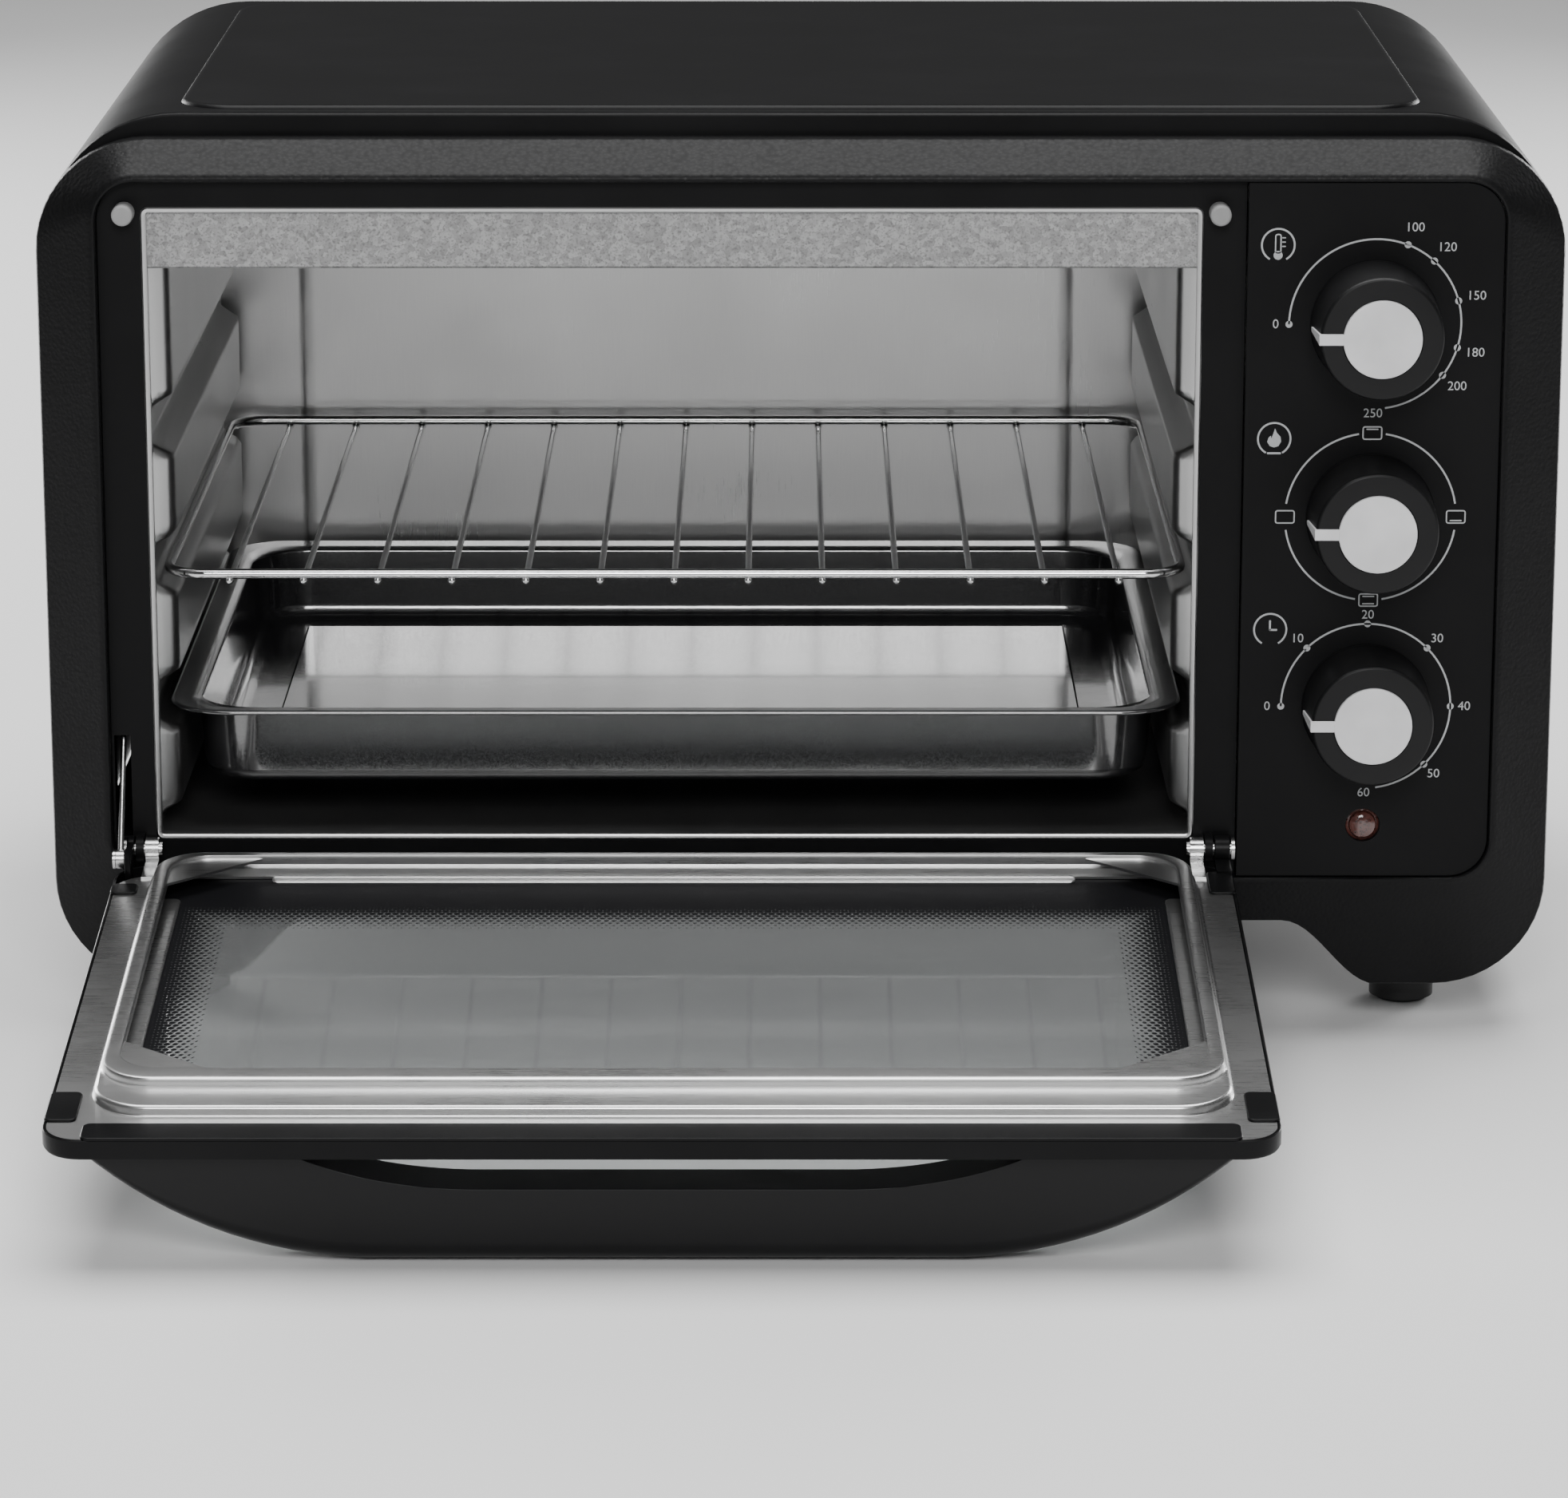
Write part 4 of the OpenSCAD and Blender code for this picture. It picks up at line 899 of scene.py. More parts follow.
def rack():
    """Chrome frame rod with thin rods welded under it."""
    low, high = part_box("wire_rack")
    rod, thin = 3.2 * mm, 2 * mm
    z = high.z - rod / 2
    radius = 12 * mm
    x0, x1, y0, y1 = low.x + rod / 2, high.x - rod / 2, low.y + rod / 2, high.y - rod / 2
    corners = [(x1 - radius, y1 - radius, z), (x0 + radius, y1 - radius, z),
               (x0 + radius, y0 + radius, z), (x1 - radius, y0 + radius, z)]
    ring = []
    for quarter, centre in enumerate(corners):
        ring += arc(centre, radius, quarter * 90, quarter * 90 + 90, 8)
    pieces = [wire("rack_frame", ring, rod, closed=True, sides=4)]
    pitch = (high.x - low.x - 42 * mm) / 12
    under = z - rod / 2 - thin / 2 + 0.4 * mm
    line = [(0, y0 - 0.4 * mm, under), (0, y0 + 8 * mm, under), (0, (y0 + y1) / 2, under + 0.3 * mm),
            (0, y1 - 8 * mm, under), (0, y1 + 0.4 * mm, under)]
    first = wire("rack_rod", line, thin, sides=3)
    bead = [(0.4 * mm, -1.1 * mm), (1.05 * mm, -0.8 * mm), (1.3 * mm, 0), (1.05 * mm, 0.8 * mm),
            (0.4 * mm, 1.1 * mm)]
    weld = turned("rack_weld", bead, 16)
    ends = [weld, copy_at(weld, (0, 0, 0))]
    for end, y in zip(ends, (y0 - 0.2 * mm, y1 + 0.2 * mm)):
        stand(end, Matrix.Translation((0, y, under + 0.1 * mm)) @ Matrix.Rotation(pi / 2, 4, "X"))
    first = join([first, *ends])
    centre = (low.x + high.x) / 2
    for number in range(13):
        pieces.append(copy_at(first, (centre + (number - 6) * pitch, 0, 0)))
    bpy.data.objects.remove(first)
    piece = join(pieces)
    piece.name = "wire_rack"
    finish(piece, "rack", RACK_CHROME, ("wire_rack",), 60)


def tray():
    """Enamelled tray: flat rim with a rolled edge, sloping walls and a floor with a raised border."""
    low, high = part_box("baking_tray")
    rim = high.z
    rect = (low.x, high.x, low.y, high.y, 20 * mm)
    x0, x1, y0, y1, radius = rect
    inner = (x0 + 9 * mm, x1 - 9 * mm, y0 + 9 * mm, y1 - 9 * mm, 19 * mm)
    base = low.z
    steps = [
        grown(inner, -7 * mm, base),
        grown(inner, -4 * mm, base + 0.5 * mm),
        grown(inner, -1.5 * mm, base + 2 * mm),
        grown(inner, -0.6 * mm, base + 4.5 * mm),
        grown(inner, 1 * mm, rim - 3 * mm),
        grown(inner, 1.8 * mm, rim - 1.6 * mm),
        grown(rect, -1.4 * mm, rim - 1.5 * mm),
        grown(rect, -0.3 * mm, rim - 1.3 * mm),
        grown(rect, 0, rim - 0.8 * mm),
        grown(rect, -0.3 * mm, rim - 0.2 * mm),
        grown(rect, -1.1 * mm, rim),
        grown(rect, -2.2 * mm, rim - 0.35 * mm),
        grown(rect, -6.4 * mm, rim - 0.45 * mm),
        grown(inner, 0.5 * mm, rim - 0.9 * mm),
        grown(inner, -0.4 * mm, rim - 2.2 * mm),
        grown(inner, -1.7 * mm, base + 5.5 * mm),
        grown(inner, -2.8 * mm, base + 2.9 * mm),
        grown(inner, -5 * mm, base + 1.5 * mm),
        grown(inner, -8 * mm, base + 1.1 * mm),
        grown(inner, -18 * mm, base + 1.1 * mm),
        grown(inner, -18.7 * mm, base + 1.6 * mm),
        grown(inner, -18.9 * mm, base + 1.8 * mm),
    ]
    piece = loft("baking_tray", steps, 12)
    finish(piece, "tray", TRAY_ENAMEL, ("baking_tray",), 60)


rack()
tray()

# ------------------------------------------------------------------ door

outer_low = -9.5 * mm
pan_top = -3.5 * mm
DOOR_W = 340 * mm
DOOR_L = 216 * mm
HEEL = 5 * mm
door_half = DOOR_W / 2


def door_rect(x_in, near, far, radius):
    """A rounded rectangle on the door, between two distances from the hinge."""
    return -door_half + x_in, door_half - x_in, -far, -near, radius


def outer_panel():
    """Black pressed panel: rolled edges, deep sides and the opening for the glass."""
    rect = door_rect(0, HEEL, DOOR_L, 11 * mm)
    window = door_rect(21.8 * mm, 20 * mm, 183 * mm, 8 * mm)
    n = outer_low
    steps = [
        grown(window, 0, n),
        grown(rect, -1.6 * mm, n),
        grown(rect, -0.5 * mm, n + 0.35 * mm),
        grown(rect, 0, n + 1.3 * mm),
        grown(rect, 0, pan_top - 0.2 * mm),
        grown(rect, -0.25 * mm, pan_top),
        grown(rect, -0.8 * mm, pan_top - 0.1 * mm),
        grown(rect, -0.9 * mm, n + 1.5 * mm),
        grown(rect, -2 * mm, n + 0.9 * mm),
        grown(window, 0.3 * mm, n + 0.9 * mm),
        grown(window, 0, n + 0.7 * mm),
        grown(window, 0, n),
    ]
    panel = loft("door_outer_panel", steps, 8, ring=True)
    hem = hem_strip()
    pieces = [panel, hem, *corner_tabs(), *ears()]
    piece = stand(join(pieces), ON_DOOR)
    piece.name = "door_outer_panel"
    finish(piece, "door", BLACK_PAINT, ("door_outer_panel",), 35)


def hem_strip():
    """The outer panel's free edge, folded over the pan."""
    half = 158.8 * mm
    n = pan_top
    rect = (-half, half, -DOOR_L + 0.05 * mm, -DOOR_L + 11 * mm, 2.5 * mm)
    return loft("hem", folded(rect, n, n + 0.45 * mm), 5)


def folded(rect, low, shoulder):
    """The steps of a folded strip of sheet with a soft top edge."""
    return [
        grown(rect, 0, low),
        grown(rect, 0, shoulder),
        grown(rect, -0.2 * mm, shoulder + 0.25 * mm),
        grown(rect, -0.5 * mm, shoulder + 0.35 * mm),
    ]


def corner_tabs():
    """Small folded tabs: two near the free edge and two by the hinge."""
    tabs = []
    n = pan_top
    places = [
        (-door_half, -door_half + 9 * mm, 183 * mm, 203 * mm),
        (door_half - 9 * mm, door_half, 183 * mm, 203 * mm),
        (-door_half, -door_half + 8.2 * mm, 22 * mm, 30 * mm),
        (door_half - 8.2 * mm, door_half, 12 * mm, 30 * mm),
    ]
    for x0, x1, near, far in places:
        rect = (x0 + 0.02 * mm, x1 - 0.02 * mm, -far, -near, 2 * mm)
        tabs.append(loft("tab", folded(rect, n - 0.3 * mm, n + 0.45 * mm), 5))
    return tabs


def ears():
    """The panel's two hinge ears, round about the pin."""
    made = []
    for side, inner, width, top in ((1, 165.1 * mm, 4.7 * mm, -2 * mm), (-1, 165.1 * mm, 2 * mm, 3.2 * mm)):
        eye = turned("ear", [(3.9 * mm, 0), (4.1 * mm, 0.25 * mm), (4.1 * mm, width - 0.25 * mm),
                             (3.9 * mm, width)], 40)
        x = side * inner
        eye = stand(eye, Matrix.Translation((x, 0, 0)) @ Matrix.Rotation(side * pi / 2, 4, "Y"))
        far = x + side * width
        low, high = min(x, far), max(x, far)
        arm = loft("ear_arm", [(low, high, -14 * mm, 0, 0.4 * mm, -4.1 * mm),
                               (low, high, -14 * mm, 0, 0.4 * mm, top)], 3)
        root = loft("ear_root", [(low, high, -14 * mm, -HEEL, 0.4 * mm, outer_low + 0.05 * mm),
                                 (low, high, -14 * mm, -HEEL, 0.4 * mm, -4 * mm)], 3)
        made += [eye, arm, root]
    return made


def inner_pan():
    """Satin steel pan: flat flange, pressed frame with a step at the free edge, window with cut corners."""
    n = pan_top
    under = n - 0.8 * mm
    rect = door_rect(1.1 * mm, 9 * mm, DOOR_L - 1.1 * mm, 10 * mm)
    step = door_rect(door_half - 158.2 * mm, 7 * mm, 199 * mm, 16 * mm)
    crown = door_rect(door_half - 157.2 * mm, 8 * mm, 186 * mm, 15 * mm)
    window = door_rect(door_half - 152.2 * mm, 12 * mm, 178 * mm, 12 * mm)
    flange = (rect[0], rect[1], rect[2], -14.5 * mm, 10 * mm)
    mid = n + 3 * mm
    high = n + 6 * mm
    steps = [
        grown(step, -0.9 * mm, under),
        grown(flange, 0, under),
        grown(flange, 0, n),
        grown((step[0], step[1], step[2], -14.6 * mm, 12 * mm), 1.2 * mm, n),
        grown(step, 0.3 * mm, n + 0.25 * mm),
        grown(step, 0, n + 0.8 * mm),
        grown(step, -0.15 * mm, mid - 0.9 * mm),
        grown(step, -0.6 * mm, mid - 0.25 * mm),
        grown(step, -1.3 * mm, mid),
        (crown[0] - 0.2 * mm, crown[1] + 0.2 * mm, crown[2] - 1.4 * mm, crown[3] + 0.2 * mm, 15 * mm,
         mid + 0.05 * mm),
        grown(crown, -0.2 * mm, mid + 0.5 * mm),
        grown(crown, -0.35 * mm, high - 1.1 * mm),
        grown(crown, -0.8 * mm, high - 0.3 * mm),
        grown(crown, -1.6 * mm, high),
        grown(window, 0.9 * mm, high),
        grown(window, 0.25 * mm, high - 0.2 * mm),
        grown(window, 0, high - 0.8 * mm),
        grown(window, 0, high - 3 * mm),
        grown(window, 0.7 * mm, high - 3 * mm),
        grown(window, 0.7 * mm, high - 0.9 * mm),
        grown(crown, -2 * mm, high - 0.9 * mm),
        grown(crown, -1.2 * mm, mid - 0.4 * mm),
        grown(step, -1.6 * mm, mid - 0.8 * mm),
        grown(step, -0.9 * mm, under),
    ]
    pan = loft("door_inner_pan", steps, 10, ring=True)
    piece = stand(join([pan, *corner_plates()]), ON_DOOR)
    piece.name = "door_inner_pan"
    finish(piece, "door", PAN_STEEL, ("door_inner_pan",), 40)


def corner_plates():
    """Triangles of sheet that close the window's corners."""
    made = []
    n = pan_top + 6 * mm - 1.1 * mm
    for side in (-1, 1):
        for far, turn in ((12 * mm, 1), (178 * mm, -1)):
            x, s = side * 152.6 * mm, far - turn * 0.4 * mm
            corner = [(x, -s), (x - side * 28 * mm, -s), (x, -s - turn * 22 * mm)]
            made.append(prism("corner_plate", corner, n - 0.8 * mm, n))
    return made


def glass():
    """The pane, with its black printed border fading out in a halftone of dots."""
    low, high = outer_low + 1 * mm, outer_low + 5 * mm
    rect = door_rect(door_half - 156.2 * mm, 11 * mm, 189 * mm, 6 * mm)
    piece = loft("door_glass", [grown(rect, -0.5 * mm, low), grown(rect, 0, low + 0.5 * mm),
                                grown(rect, 0, high - 0.5 * mm), grown(rect, -0.5 * mm, high)], 6)
    stand(piece, ON_DOOR)
    finish(piece, "door", PRINTED_GLASS, ("door_glass",), 30)


def glass_strips():
    """Thin strips with round ends that hold the glass in the pan."""
    n = outer_low + 5 * mm
    made = []
    rects = [(-122 * mm, 122 * mm, -18 * mm, -12 * mm, 2 * mm)]
    for side_x in (-151.7 * mm, 151.7 * mm):
        rects.append((side_x - 3.5 * mm, side_x + 3.5 * mm, -164 * mm, -32 * mm, 2 * mm))
    for rect in rects:
        steps = [
            grown(rect, 0, n),
            grown(rect, 0, n + 0.4 * mm),
            grown(rect, -0.25 * mm, n + 0.62 * mm),
            grown(rect, -0.8 * mm, n + 0.7 * mm),
        ]
        made.append(loft("strip", steps, 5))
    piece = stand(join(made), ON_DOOR)
    piece.name = "glass_strips"
    finish(piece, "door", PAN_STEEL, ("glass_strips",), 40)


def bow(half, depth, count):
    """Half of the handle's outline, from its foot on the door to its flat middle."""
    points = []
    for number in range(count + 1):
        t = number / count
        u = 1 - t
        points.append((half * (u * u + 2 * u * t * 0.80 + t * t * 0.52), depth * (2 * u * t * 0.93 + t * t)))
    return points


def bow_outline(half, depth, foot=0, count=14):
    """The whole bow, closed by a straight line at its feet."""
    side = bow(half, depth, count)
    if foot:
        side.insert(0, (side[0][0], foot))
    return [*side, *[(-x, y) for x, y in reversed(side)]]


def handle():
    """The bow handle: a broad soft outer edge, a finger gap at the door and a hollow behind."""
    half, depth, edge = 161 * mm, 33.95 * mm, 7 * mm
    near, far = 196 * mm, 210 * mm
    length = far - near
    body = prism("door_handle", bow_outline(half, depth), 0, length - edge)
    open_edit(body)
    pick(body, "verts", lambda vert: vert.co.z > length - edge - 0.1 * mm)
    wide, deep, place = half, depth, length - edge
    for turn in range(15, 91, 15):
        inset = edge * (1 - cos(radians(turn)))
        high = length - edge + edge * sin(radians(turn))
        extrude(0, 0, high - place)
        scale(((half - inset / 2) / wide, (depth - inset) / deep, 1), (0, 0, 0))
        wide, deep, place = half - inset / 2, depth - inset, high
    close_edit()
    tidy(body)
    cut(body, prism("gap", bow_outline(103 * mm, 11 * mm, -3 * mm), -5 * mm, 20 * mm))
    hollow = [(x, max(y, 14 * mm)) for x, y in bow_outline(155 * mm, 24 * mm) if y > 13.5 * mm]
    cut(body, prism("hollow", hollow, -5 * mm, 11 * mm))
    soften(body, 0.7 * mm, 3, 50)
    lay = Matrix(((-1, 0, 0), (0, 0, -1), (0, -1, 0))).to_4x4()
    stand(body, ON_DOOR @ Matrix.Translation((0, -near, outer_low)) @ lay)
    finish(body, "door", HANDLE_PLASTIC, ("door_handle",), 30)


outer_panel()
inner_pan()
glass()
glass_strips()
handle()

# ------------------------------------------------------------------ controls

dial_low, dial_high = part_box("temperature_knob")
dial_x = (dial_low.x + dial_high.x) / 2
KNOB_FRONT = 23.2 * mm
PANEL_FACE = -1.5 * mm
INK_T = 0.05 * mm
RING = 25.8 * mm


def dial_height(name):
    low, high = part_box(name)
    return (low.z + high.z) / 2


def panel():
    """The thin control panel: a rounded bright edge, square at the left, with a hole for the lamp."""
    extra = 15 * mm
    rect = (panel_low.x - extra, panel_high.x, panel_low.z, panel_high.z, RECESS_R - 0.15 * mm)
    steps = [grown(rect, 0, PANEL_FACE - 1.5 * mm), grown(rect, 0, PANEL_FACE - 0.4 * mm),
             grown(rect, -0.15 * mm, PANEL_FACE - 0.12 * mm), grown(rect, -0.5 * mm, PANEL_FACE)]
    piece = loft("control_panel", steps, 10)
    open_edit(piece)
    bpy.ops.mesh.select_all(action="SELECT")
    bpy.ops.mesh.bisect(plane_co=(panel_low.x, 0, 0), plane_no=(1, 0, 0), clear_inner=True, use_fill=True)
    close_edit()
    tool = turned("lamp_hole", [(5.2 * mm, -9 * mm), (5.2 * mm, 4 * mm)], 40)
    cut(piece, stand(tool, Matrix.Translation((dial_x, dial_height("lamp_lens"), 0))))
    soften(piece, 0.25 * mm, 2, 50)
    edge = (panel_low.x, panel_low.x + 1 * mm, panel_low.z + 0.2 * mm, panel_high.z - 0.2 * mm, 0.2 * mm)
    fold = loft("panel_fold", [grown(edge, 0, -6.2 * mm), grown(edge, 0, PANEL_FACE - 1.5 * mm)], 2)
    piece = stand(join([piece, fold]), ON_FRONT)
    piece.name = "control_panel"
    finish(piece, "oven", BLACK_PLATE, ("control_panel",), 35)


def lamp():
    """The indicator: a domed jewel sunk in the panel."""
    steps = [(5.1 * mm, -4 * mm), (5.1 * mm, -3.2 * mm), (4.3 * mm, -3 * mm), (4.2 * mm, -1.9 * mm),
             (3.7 * mm, -1.25 * mm), (2.4 * mm, -0.8 * mm), (0.8 * mm, -0.6 * mm)]
    piece = turned("lamp_lens", steps, 48)
    stand(piece, ON_FRONT @ Matrix.Translation((dial_x, dial_height("lamp_lens"), 0)))
    finish(piece, "oven", LENS, ("lamp_lens",), 50)


def knob(name):
    """A tapered knob with a light cap let into its face and a pointer over its rim."""
    place = ON_FRONT @ Matrix.Translation((dial_x, dial_height(name + "_knob"), 0))
    steps = [(19.5 * mm, -0.8 * mm), (19.5 * mm, 0.6 * mm), (19.3 * mm, 1.1 * mm), (18.42 * mm, 21.6 * mm),
             (18.3 * mm, 22.3 * mm), (18.0 * mm, 22.9 * mm), (17.5 * mm, KNOB_FRONT), (12.1 * mm, KNOB_FRONT),
             (11.9 * mm, KNOB_FRONT - 0.3 * mm), (11.85 * mm, KNOB_FRONT - 1 * mm)]
    body = stand(turned(name + "_knob", steps, 96), place)
    finish(body, name + "_control", KNOB_PLASTIC, (name + "_knob",), 35)
    face = turned("cap", [(11.75 * mm, KNOB_FRONT - 0.8 * mm), (11.75 * mm, KNOB_FRONT + 0.4 * mm),
                          (11.6 * mm, KNOB_FRONT + 0.68 * mm), (11.2 * mm, KNOB_FRONT + 0.8 * mm)], 72)
    cap = stand(join([face, pointer()]), place)
    cap.name = name + "_cap"
    finish(cap, name + "_control", CAP_PLASTIC, (name + "_cap",), 35)


def pointer():
    """A flat bar from the cap to the rim that turns down the knob's side and narrows."""
    rim, low, spread = 18.25 * mm, 6 * mm, 0.9 * mm
    thick = 0.6 * mm
    outline = [(-rim, KNOB_FRONT), (-rim - spread, low), (-rim - spread - thick, low),
               (-rim - thick, KNOB_FRONT + thick), (-10.8 * mm, KNOB_FRONT + thick), (-10.8 * mm, KNOB_FRONT)]
    bar = stand(prism("pointer", outline, -1.7 * mm, 1.7 * mm), Matrix.Rotation(pi / 2, 4, "X"))
    open_edit(bar)
    pick(bar, "verts", lambda vert: vert.co.z < low + 1 * mm)
    scale((1, 0.4, 1), (0, 0, 0))
    close_edit()
    soften(bar, 0.15 * mm, 2, 40)
    return bar


def printed_arc(x, y, radius, start, end, width=0.55 * mm):
    """A thin printed line round a centre, from one clock angle to another, clockwise from nine."""
    first = radians(180 - start)
    bpy.ops.object.select_all(action="DESELECT")
    inner = (x + (radius - width / 2) * cos(first), y + (radius - width / 2) * sin(first), 0)
    outer = (x + (radius + width / 2) * cos(first), y + (radius + width / 2) * sin(first), 0)
    line = path_of("arc", [inner, outer])
    open_edit(line)
    bpy.ops.mesh.select_all(action="SELECT")
    turn = radians(end - start)
    bpy.ops.mesh.spin(steps=max(3, int((end - start) / 4)), angle=turn, center=(x, y, 0), axis=(0, 0, 1))
    bpy.ops.mesh.select_all(action="SELECT")
    bpy.ops.mesh.remove_doubles(threshold=0.01 * mm)
    bpy.ops.mesh.select_all(action="SELECT")
    extrude(0, 0, INK_T)
    close_edit()
    tidy(line)
    return line


def printed_dot(x, y, radius=1.05 * mm):
    dot = turned("dot", [(radius, 0), (radius, INK_T)], 24)
    return stand(dot, Matrix.Translation((x, y, 0)))


def printed_box(x, y, width, height, line=0.4 * mm, radius=0.8 * mm):
    """An outlined box."""
    rect = (x - width / 2, x + width / 2, y - height / 2, y + height / 2, radius)
    steps = [grown(rect, 0, 0), grown(rect, 0, INK_T), grown(rect, -line, INK_T), grown(rect, -line, 0),
             grown(rect, 0, 0)]
    return loft("box", steps, 4, ring=True)


def printed_bar(x, y, width, height, turn=0.0):
    bar = loft("bar", [(-width / 2, width / 2, -height / 2, height / 2, min(width, height) * 0.3, 0),
                       (-width / 2, width / 2, -height / 2, height / 2, min(width, height) * 0.3, INK_T)], 3)
    return stand(bar, Matrix.Translation((x, y, 0)) @ Matrix.Rotation(radians(turn), 4, "Z"))


def printed_number(x, y, number, size=3.9 * mm):
    """A number set about its middle."""
    bpy.ops.object.select_all(action="DESELECT")
    bpy.ops.object.text_add(location=(0, 0, 0))
    label = bpy.context.object
    label.data.body = number
    label.data.size = size
    label.data.align_x = "CENTER"
    label.data.align_y = "CENTER"
    label.data.extrude = INK_T / 2
    label.data.resolution_u = 4
    bpy.ops.object.convert(target="MESH")
    label = stand(bpy.context.object, Matrix.Translation((x, y, INK_T / 2)))
    tidy(label)
    return label


def on_dial(height, turn, radius):
    """A point on a dial, by its clockwise angle from nine o'clock."""
    angle = radians(180 - turn)
    return dial_x + radius * cos(angle), height + radius * sin(angle)


def temperature_print(height):
    marks = [printed_arc(dial_x, height, RING, 0, 262)]
    for turn, number in ((0, "0"), (111, "100"), (132, "120"), (164, "150"), (196, "180"), (217, "200")):
        reach = 4.0 * mm if turn == 0 else 5.6 * mm
        marks.append(printed_dot(*on_dial(height, turn, RING)))
        marks.append(printed_number(*on_dial(height, turn, RING + reach), number))
    marks.append(printed_number(*on_dial(height, 270, RING + 1.4 * mm), "250"))
    return marks


def function_print(height):
    """A ring broken by four small oven symbols: both off, top heat, bottom heat, both."""
    marks = [printed_arc(dial_x, height, RING, quarter * 90 + 9, quarter * 90 + 81) for quarter in range(4)]
    for turn, bars in ((0, ()), (90, (1,)), (180, (-1,)), (270, (1, -1))):
        x, y = on_dial(height, turn, RING)
        marks.append(printed_box(x, y, 6 * mm, 4.2 * mm))
        marks += [printed_bar(x, y + side * 1.15 * mm, 3.6 * mm, 0.4 * mm) for side in bars]
    return marks


def timer_print(height):
    marks = [printed_arc(dial_x, height, RING, 0, 262)]
    for turn, number in ((0, "0"), (45, "10"), (90, "20"), (135, "30"), (180, "40"), (225, "50")):
        reach = 2.8 * mm if turn == 90 else 4.2 * mm
        marks.append(printed_dot(*on_dial(height, turn, RING)))
        marks.append(printed_number(*on_dial(height, turn, RING + reach), number))
    marks.append(printed_number(*on_dial(height, 270, RING + 1.4 * mm), "60"))
    return marks


def icon_ring(x, y):
    """A ring open at its foot."""
    return printed_arc(x, y, 4.9 * mm, -60, 240, 0.55 * mm)


def thermometer_icon(x, y):
    bulb = printed_dot(x, y - 3.1 * mm, 1.35 * mm)
    stem = printed_box(x, y + 0.4 * mm, 2 * mm, 6 * mm)
    ticks = [printed_bar(x + 1.7 * mm, y + rise * mm, 1.1 * mm, 0.35 * mm) for rise in (-0.4, 0.9, 2.2)]
    return [icon_ring(x, y), bulb, stem, *ticks]


def flame_icon(x, y):
    """A flame over a bar."""
    outline = [(0.2, 3.2), (0.75, 1.9), (1.9, 0.6), (2.1, -0.8), (1.3, -2.2), (0, -2.6),
               (-1.3, -2.2), (-2.1, -0.9), (-1.7, 0.4), (-1.0, 1.0), (-0.9, 0.1), (-0.3, 1.6)]
    flame = prism("flame", [(x + u * mm, y + v * mm) for u, v in outline], 0, INK_T)
    return [icon_ring(x, y), flame, printed_bar(x, y - 4.4 * mm, 4.2 * mm, 0.6 * mm)]


def clock_icon(x, y):
    return [icon_ring(x, y), printed_bar(x - 0.1 * mm, y + 1.3 * mm, 0.6 * mm, 3.2 * mm),
            printed_bar(x + 0.9 * mm, y - 0.1 * mm, 2.4 * mm, 0.6 * mm)]


def dial_prints():
    """All the ink on the panel."""
    icon_x = dial_x - 29.5 * mm
    marks = []
    dials = (("temperature", temperature_print, thermometer_icon),
             ("function", function_print, flame_icon),
             ("timer", timer_print, clock_icon))
    for name, printer, icon in dials:
        height = dial_height(name + "_knob")
        marks += printer(height)
        marks += icon(icon_x, height + 24 * mm)
    piece = stand(join(marks), ON_FRONT @ Matrix.Translation((0, 0, PANEL_FACE)))
    piece.name = "dial_prints"
    finish(piece, "oven", INK, (), 30)


def bumpers():
    """Round buffers that the shut door leans on."""
    low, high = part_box("bumpers")
    steps = [(3.2 * mm, -5 * mm), (3.2 * mm, 1.1 * mm), (3.05 * mm, 1.5 * mm), (2.7 * mm, 1.8 * mm),
             (2.2 * mm, 1.9 * mm)]
    first = turned("bumper", steps, 40)
    z = (low.z + high.z) / 2
    pieces = [copy_at(first, (x, z, 0)) for x in (low.x + 3.2 * mm, high.x - 3.2 * mm)]
    bpy.data.objects.remove(first)
    piece = stand(join(pieces), ON_FRONT)
    piece.name = "bumpers"
    finish(piece, "oven", BUMPER_PLASTIC, ("bumpers",), 35)


panel()
lamp()
for control in ("temperature", "function", "timer"):
    knob(control)
dial_prints()
bumpers()

# ------------------------------------------------------------------ finishes of the pieces that stay

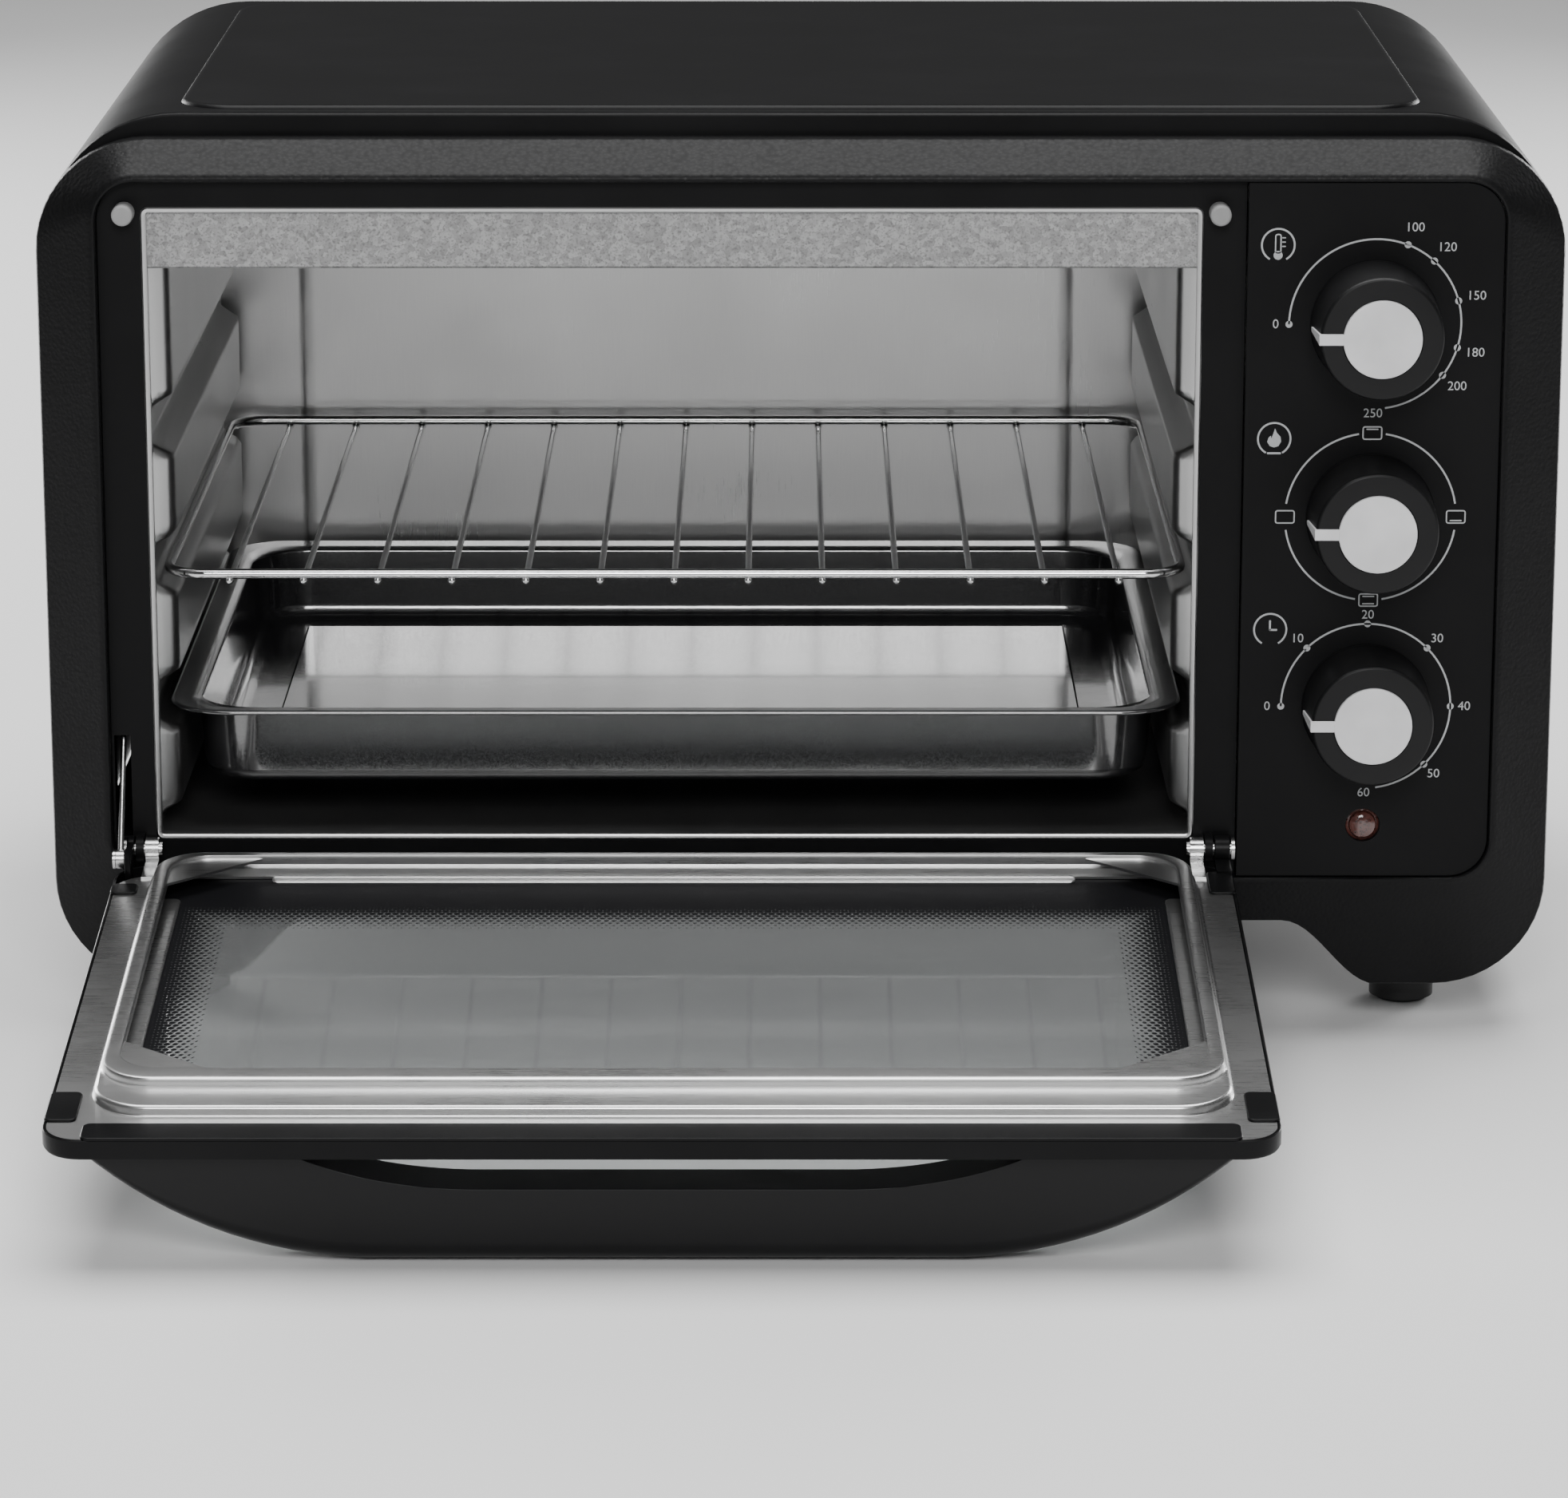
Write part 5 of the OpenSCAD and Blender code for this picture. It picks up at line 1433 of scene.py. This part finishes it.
FINISHES = [
    (BLACK_PLATE, ["front_plate", "hinge_brackets"]),
    (FLOOR_STEEL, ["cavity_floor"]),
    (BACK_STEEL, ["cavity_roof"]),
    (ZINC_SHEET, ["back_panel", "base_plate", "element_bracket", "spring_bracket"]),
    (FOOT_PLASTIC, ["feet", "cord_bushing", "lamp_holder"]),
    (RUBBER, ["foot_pads"]),
    (BRIGHT_STEEL, ["foot_screws", "back_screws", "handle_screws", "hinge_pins", "hinge_knuckles", "link_stud",
                    "door_link", "temperature_shaft", "function_shaft", "timer_shaft", "timer_bell"]),
    (SPRING_STEEL, ["door_spring"]),
    (SHEATH, ["upper_element", "lower_element"]),
    (CERAMIC, ["element_insulators", "terminal_block"]),
    (DEVICE_PLASTIC, ["thermostat", "function_switch", "timer"]),
]
for material, nodes in FINISHES:
    for node in nodes:
        repaint(node, material)


# ------------------------------------------------------------------ floor, light and camera


def room():
    """A plain pale floor under the feet."""
    bpy.ops.object.select_all(action="DESELECT")
    bpy.ops.mesh.primitive_plane_add(size=14, location=(0, 1.5, -0.0005))
    floor = bpy.context.object
    floor.name = "floor"
    bpy.ops.object.transform_apply()
    paint = Paint("floor_paint", (0.82, 0.82, 0.82), 0.7)
    cloud = paint.noise(0.6, 2)
    paint.polish(cloud, 0.66, 0.74)
    floor.data.materials.append(paint.material)


def studio_light(name, place, aim, size, power):
    bpy.ops.object.light_add(type="AREA", location=place)
    light = bpy.context.object
    light.name = name
    light.data.shape = "SQUARE"
    light.data.size = size
    light.data.energy = power
    light.visible_camera = False
    light.rotation_euler = (Vector(aim) - Vector(place)).to_track_quat("-Z", "Y").to_euler()


def camera():
    """A long lens in front of the oven, looking a little down."""
    bpy.ops.object.camera_add(location=(-0.005, front - 1.774, 0.559))
    eye = bpy.context.object
    eye.rotation_euler = (radians(90 - 14.72), 0, 0)
    eye.data.lens = 138.2
    eye.data.sensor_width = 36
    eye.data.clip_end = 50
    bpy.context.scene.camera = eye


def surroundings():
    """Faint white light from all round."""
    world = bpy.data.worlds.new("studio")
    world.use_nodes = True
    sky = world.node_tree.nodes["Background"]
    sky.inputs["Color"].default_value = (1, 1, 1, 1)
    sky.inputs["Strength"].default_value = 0.1
    bpy.context.scene.world = world


room()
surroundings()
studio_light("top_light", (0.0, 0.3, 2.4), (0, 0.0, 0.0), 2.2, 90)
studio_light("front_light", (0.0, -2.0, 1.25), (0, 0.1, 0.12), 0.8, 30)
studio_light("left_light", (-1.25, 1.5, 0.5), (-0.1, 0.1, 0.2), 0.8, 22)
studio_light("right_light", (1.25, 1.5, 0.5), (0.1, 0.1, 0.2), 0.8, 22)
camera()
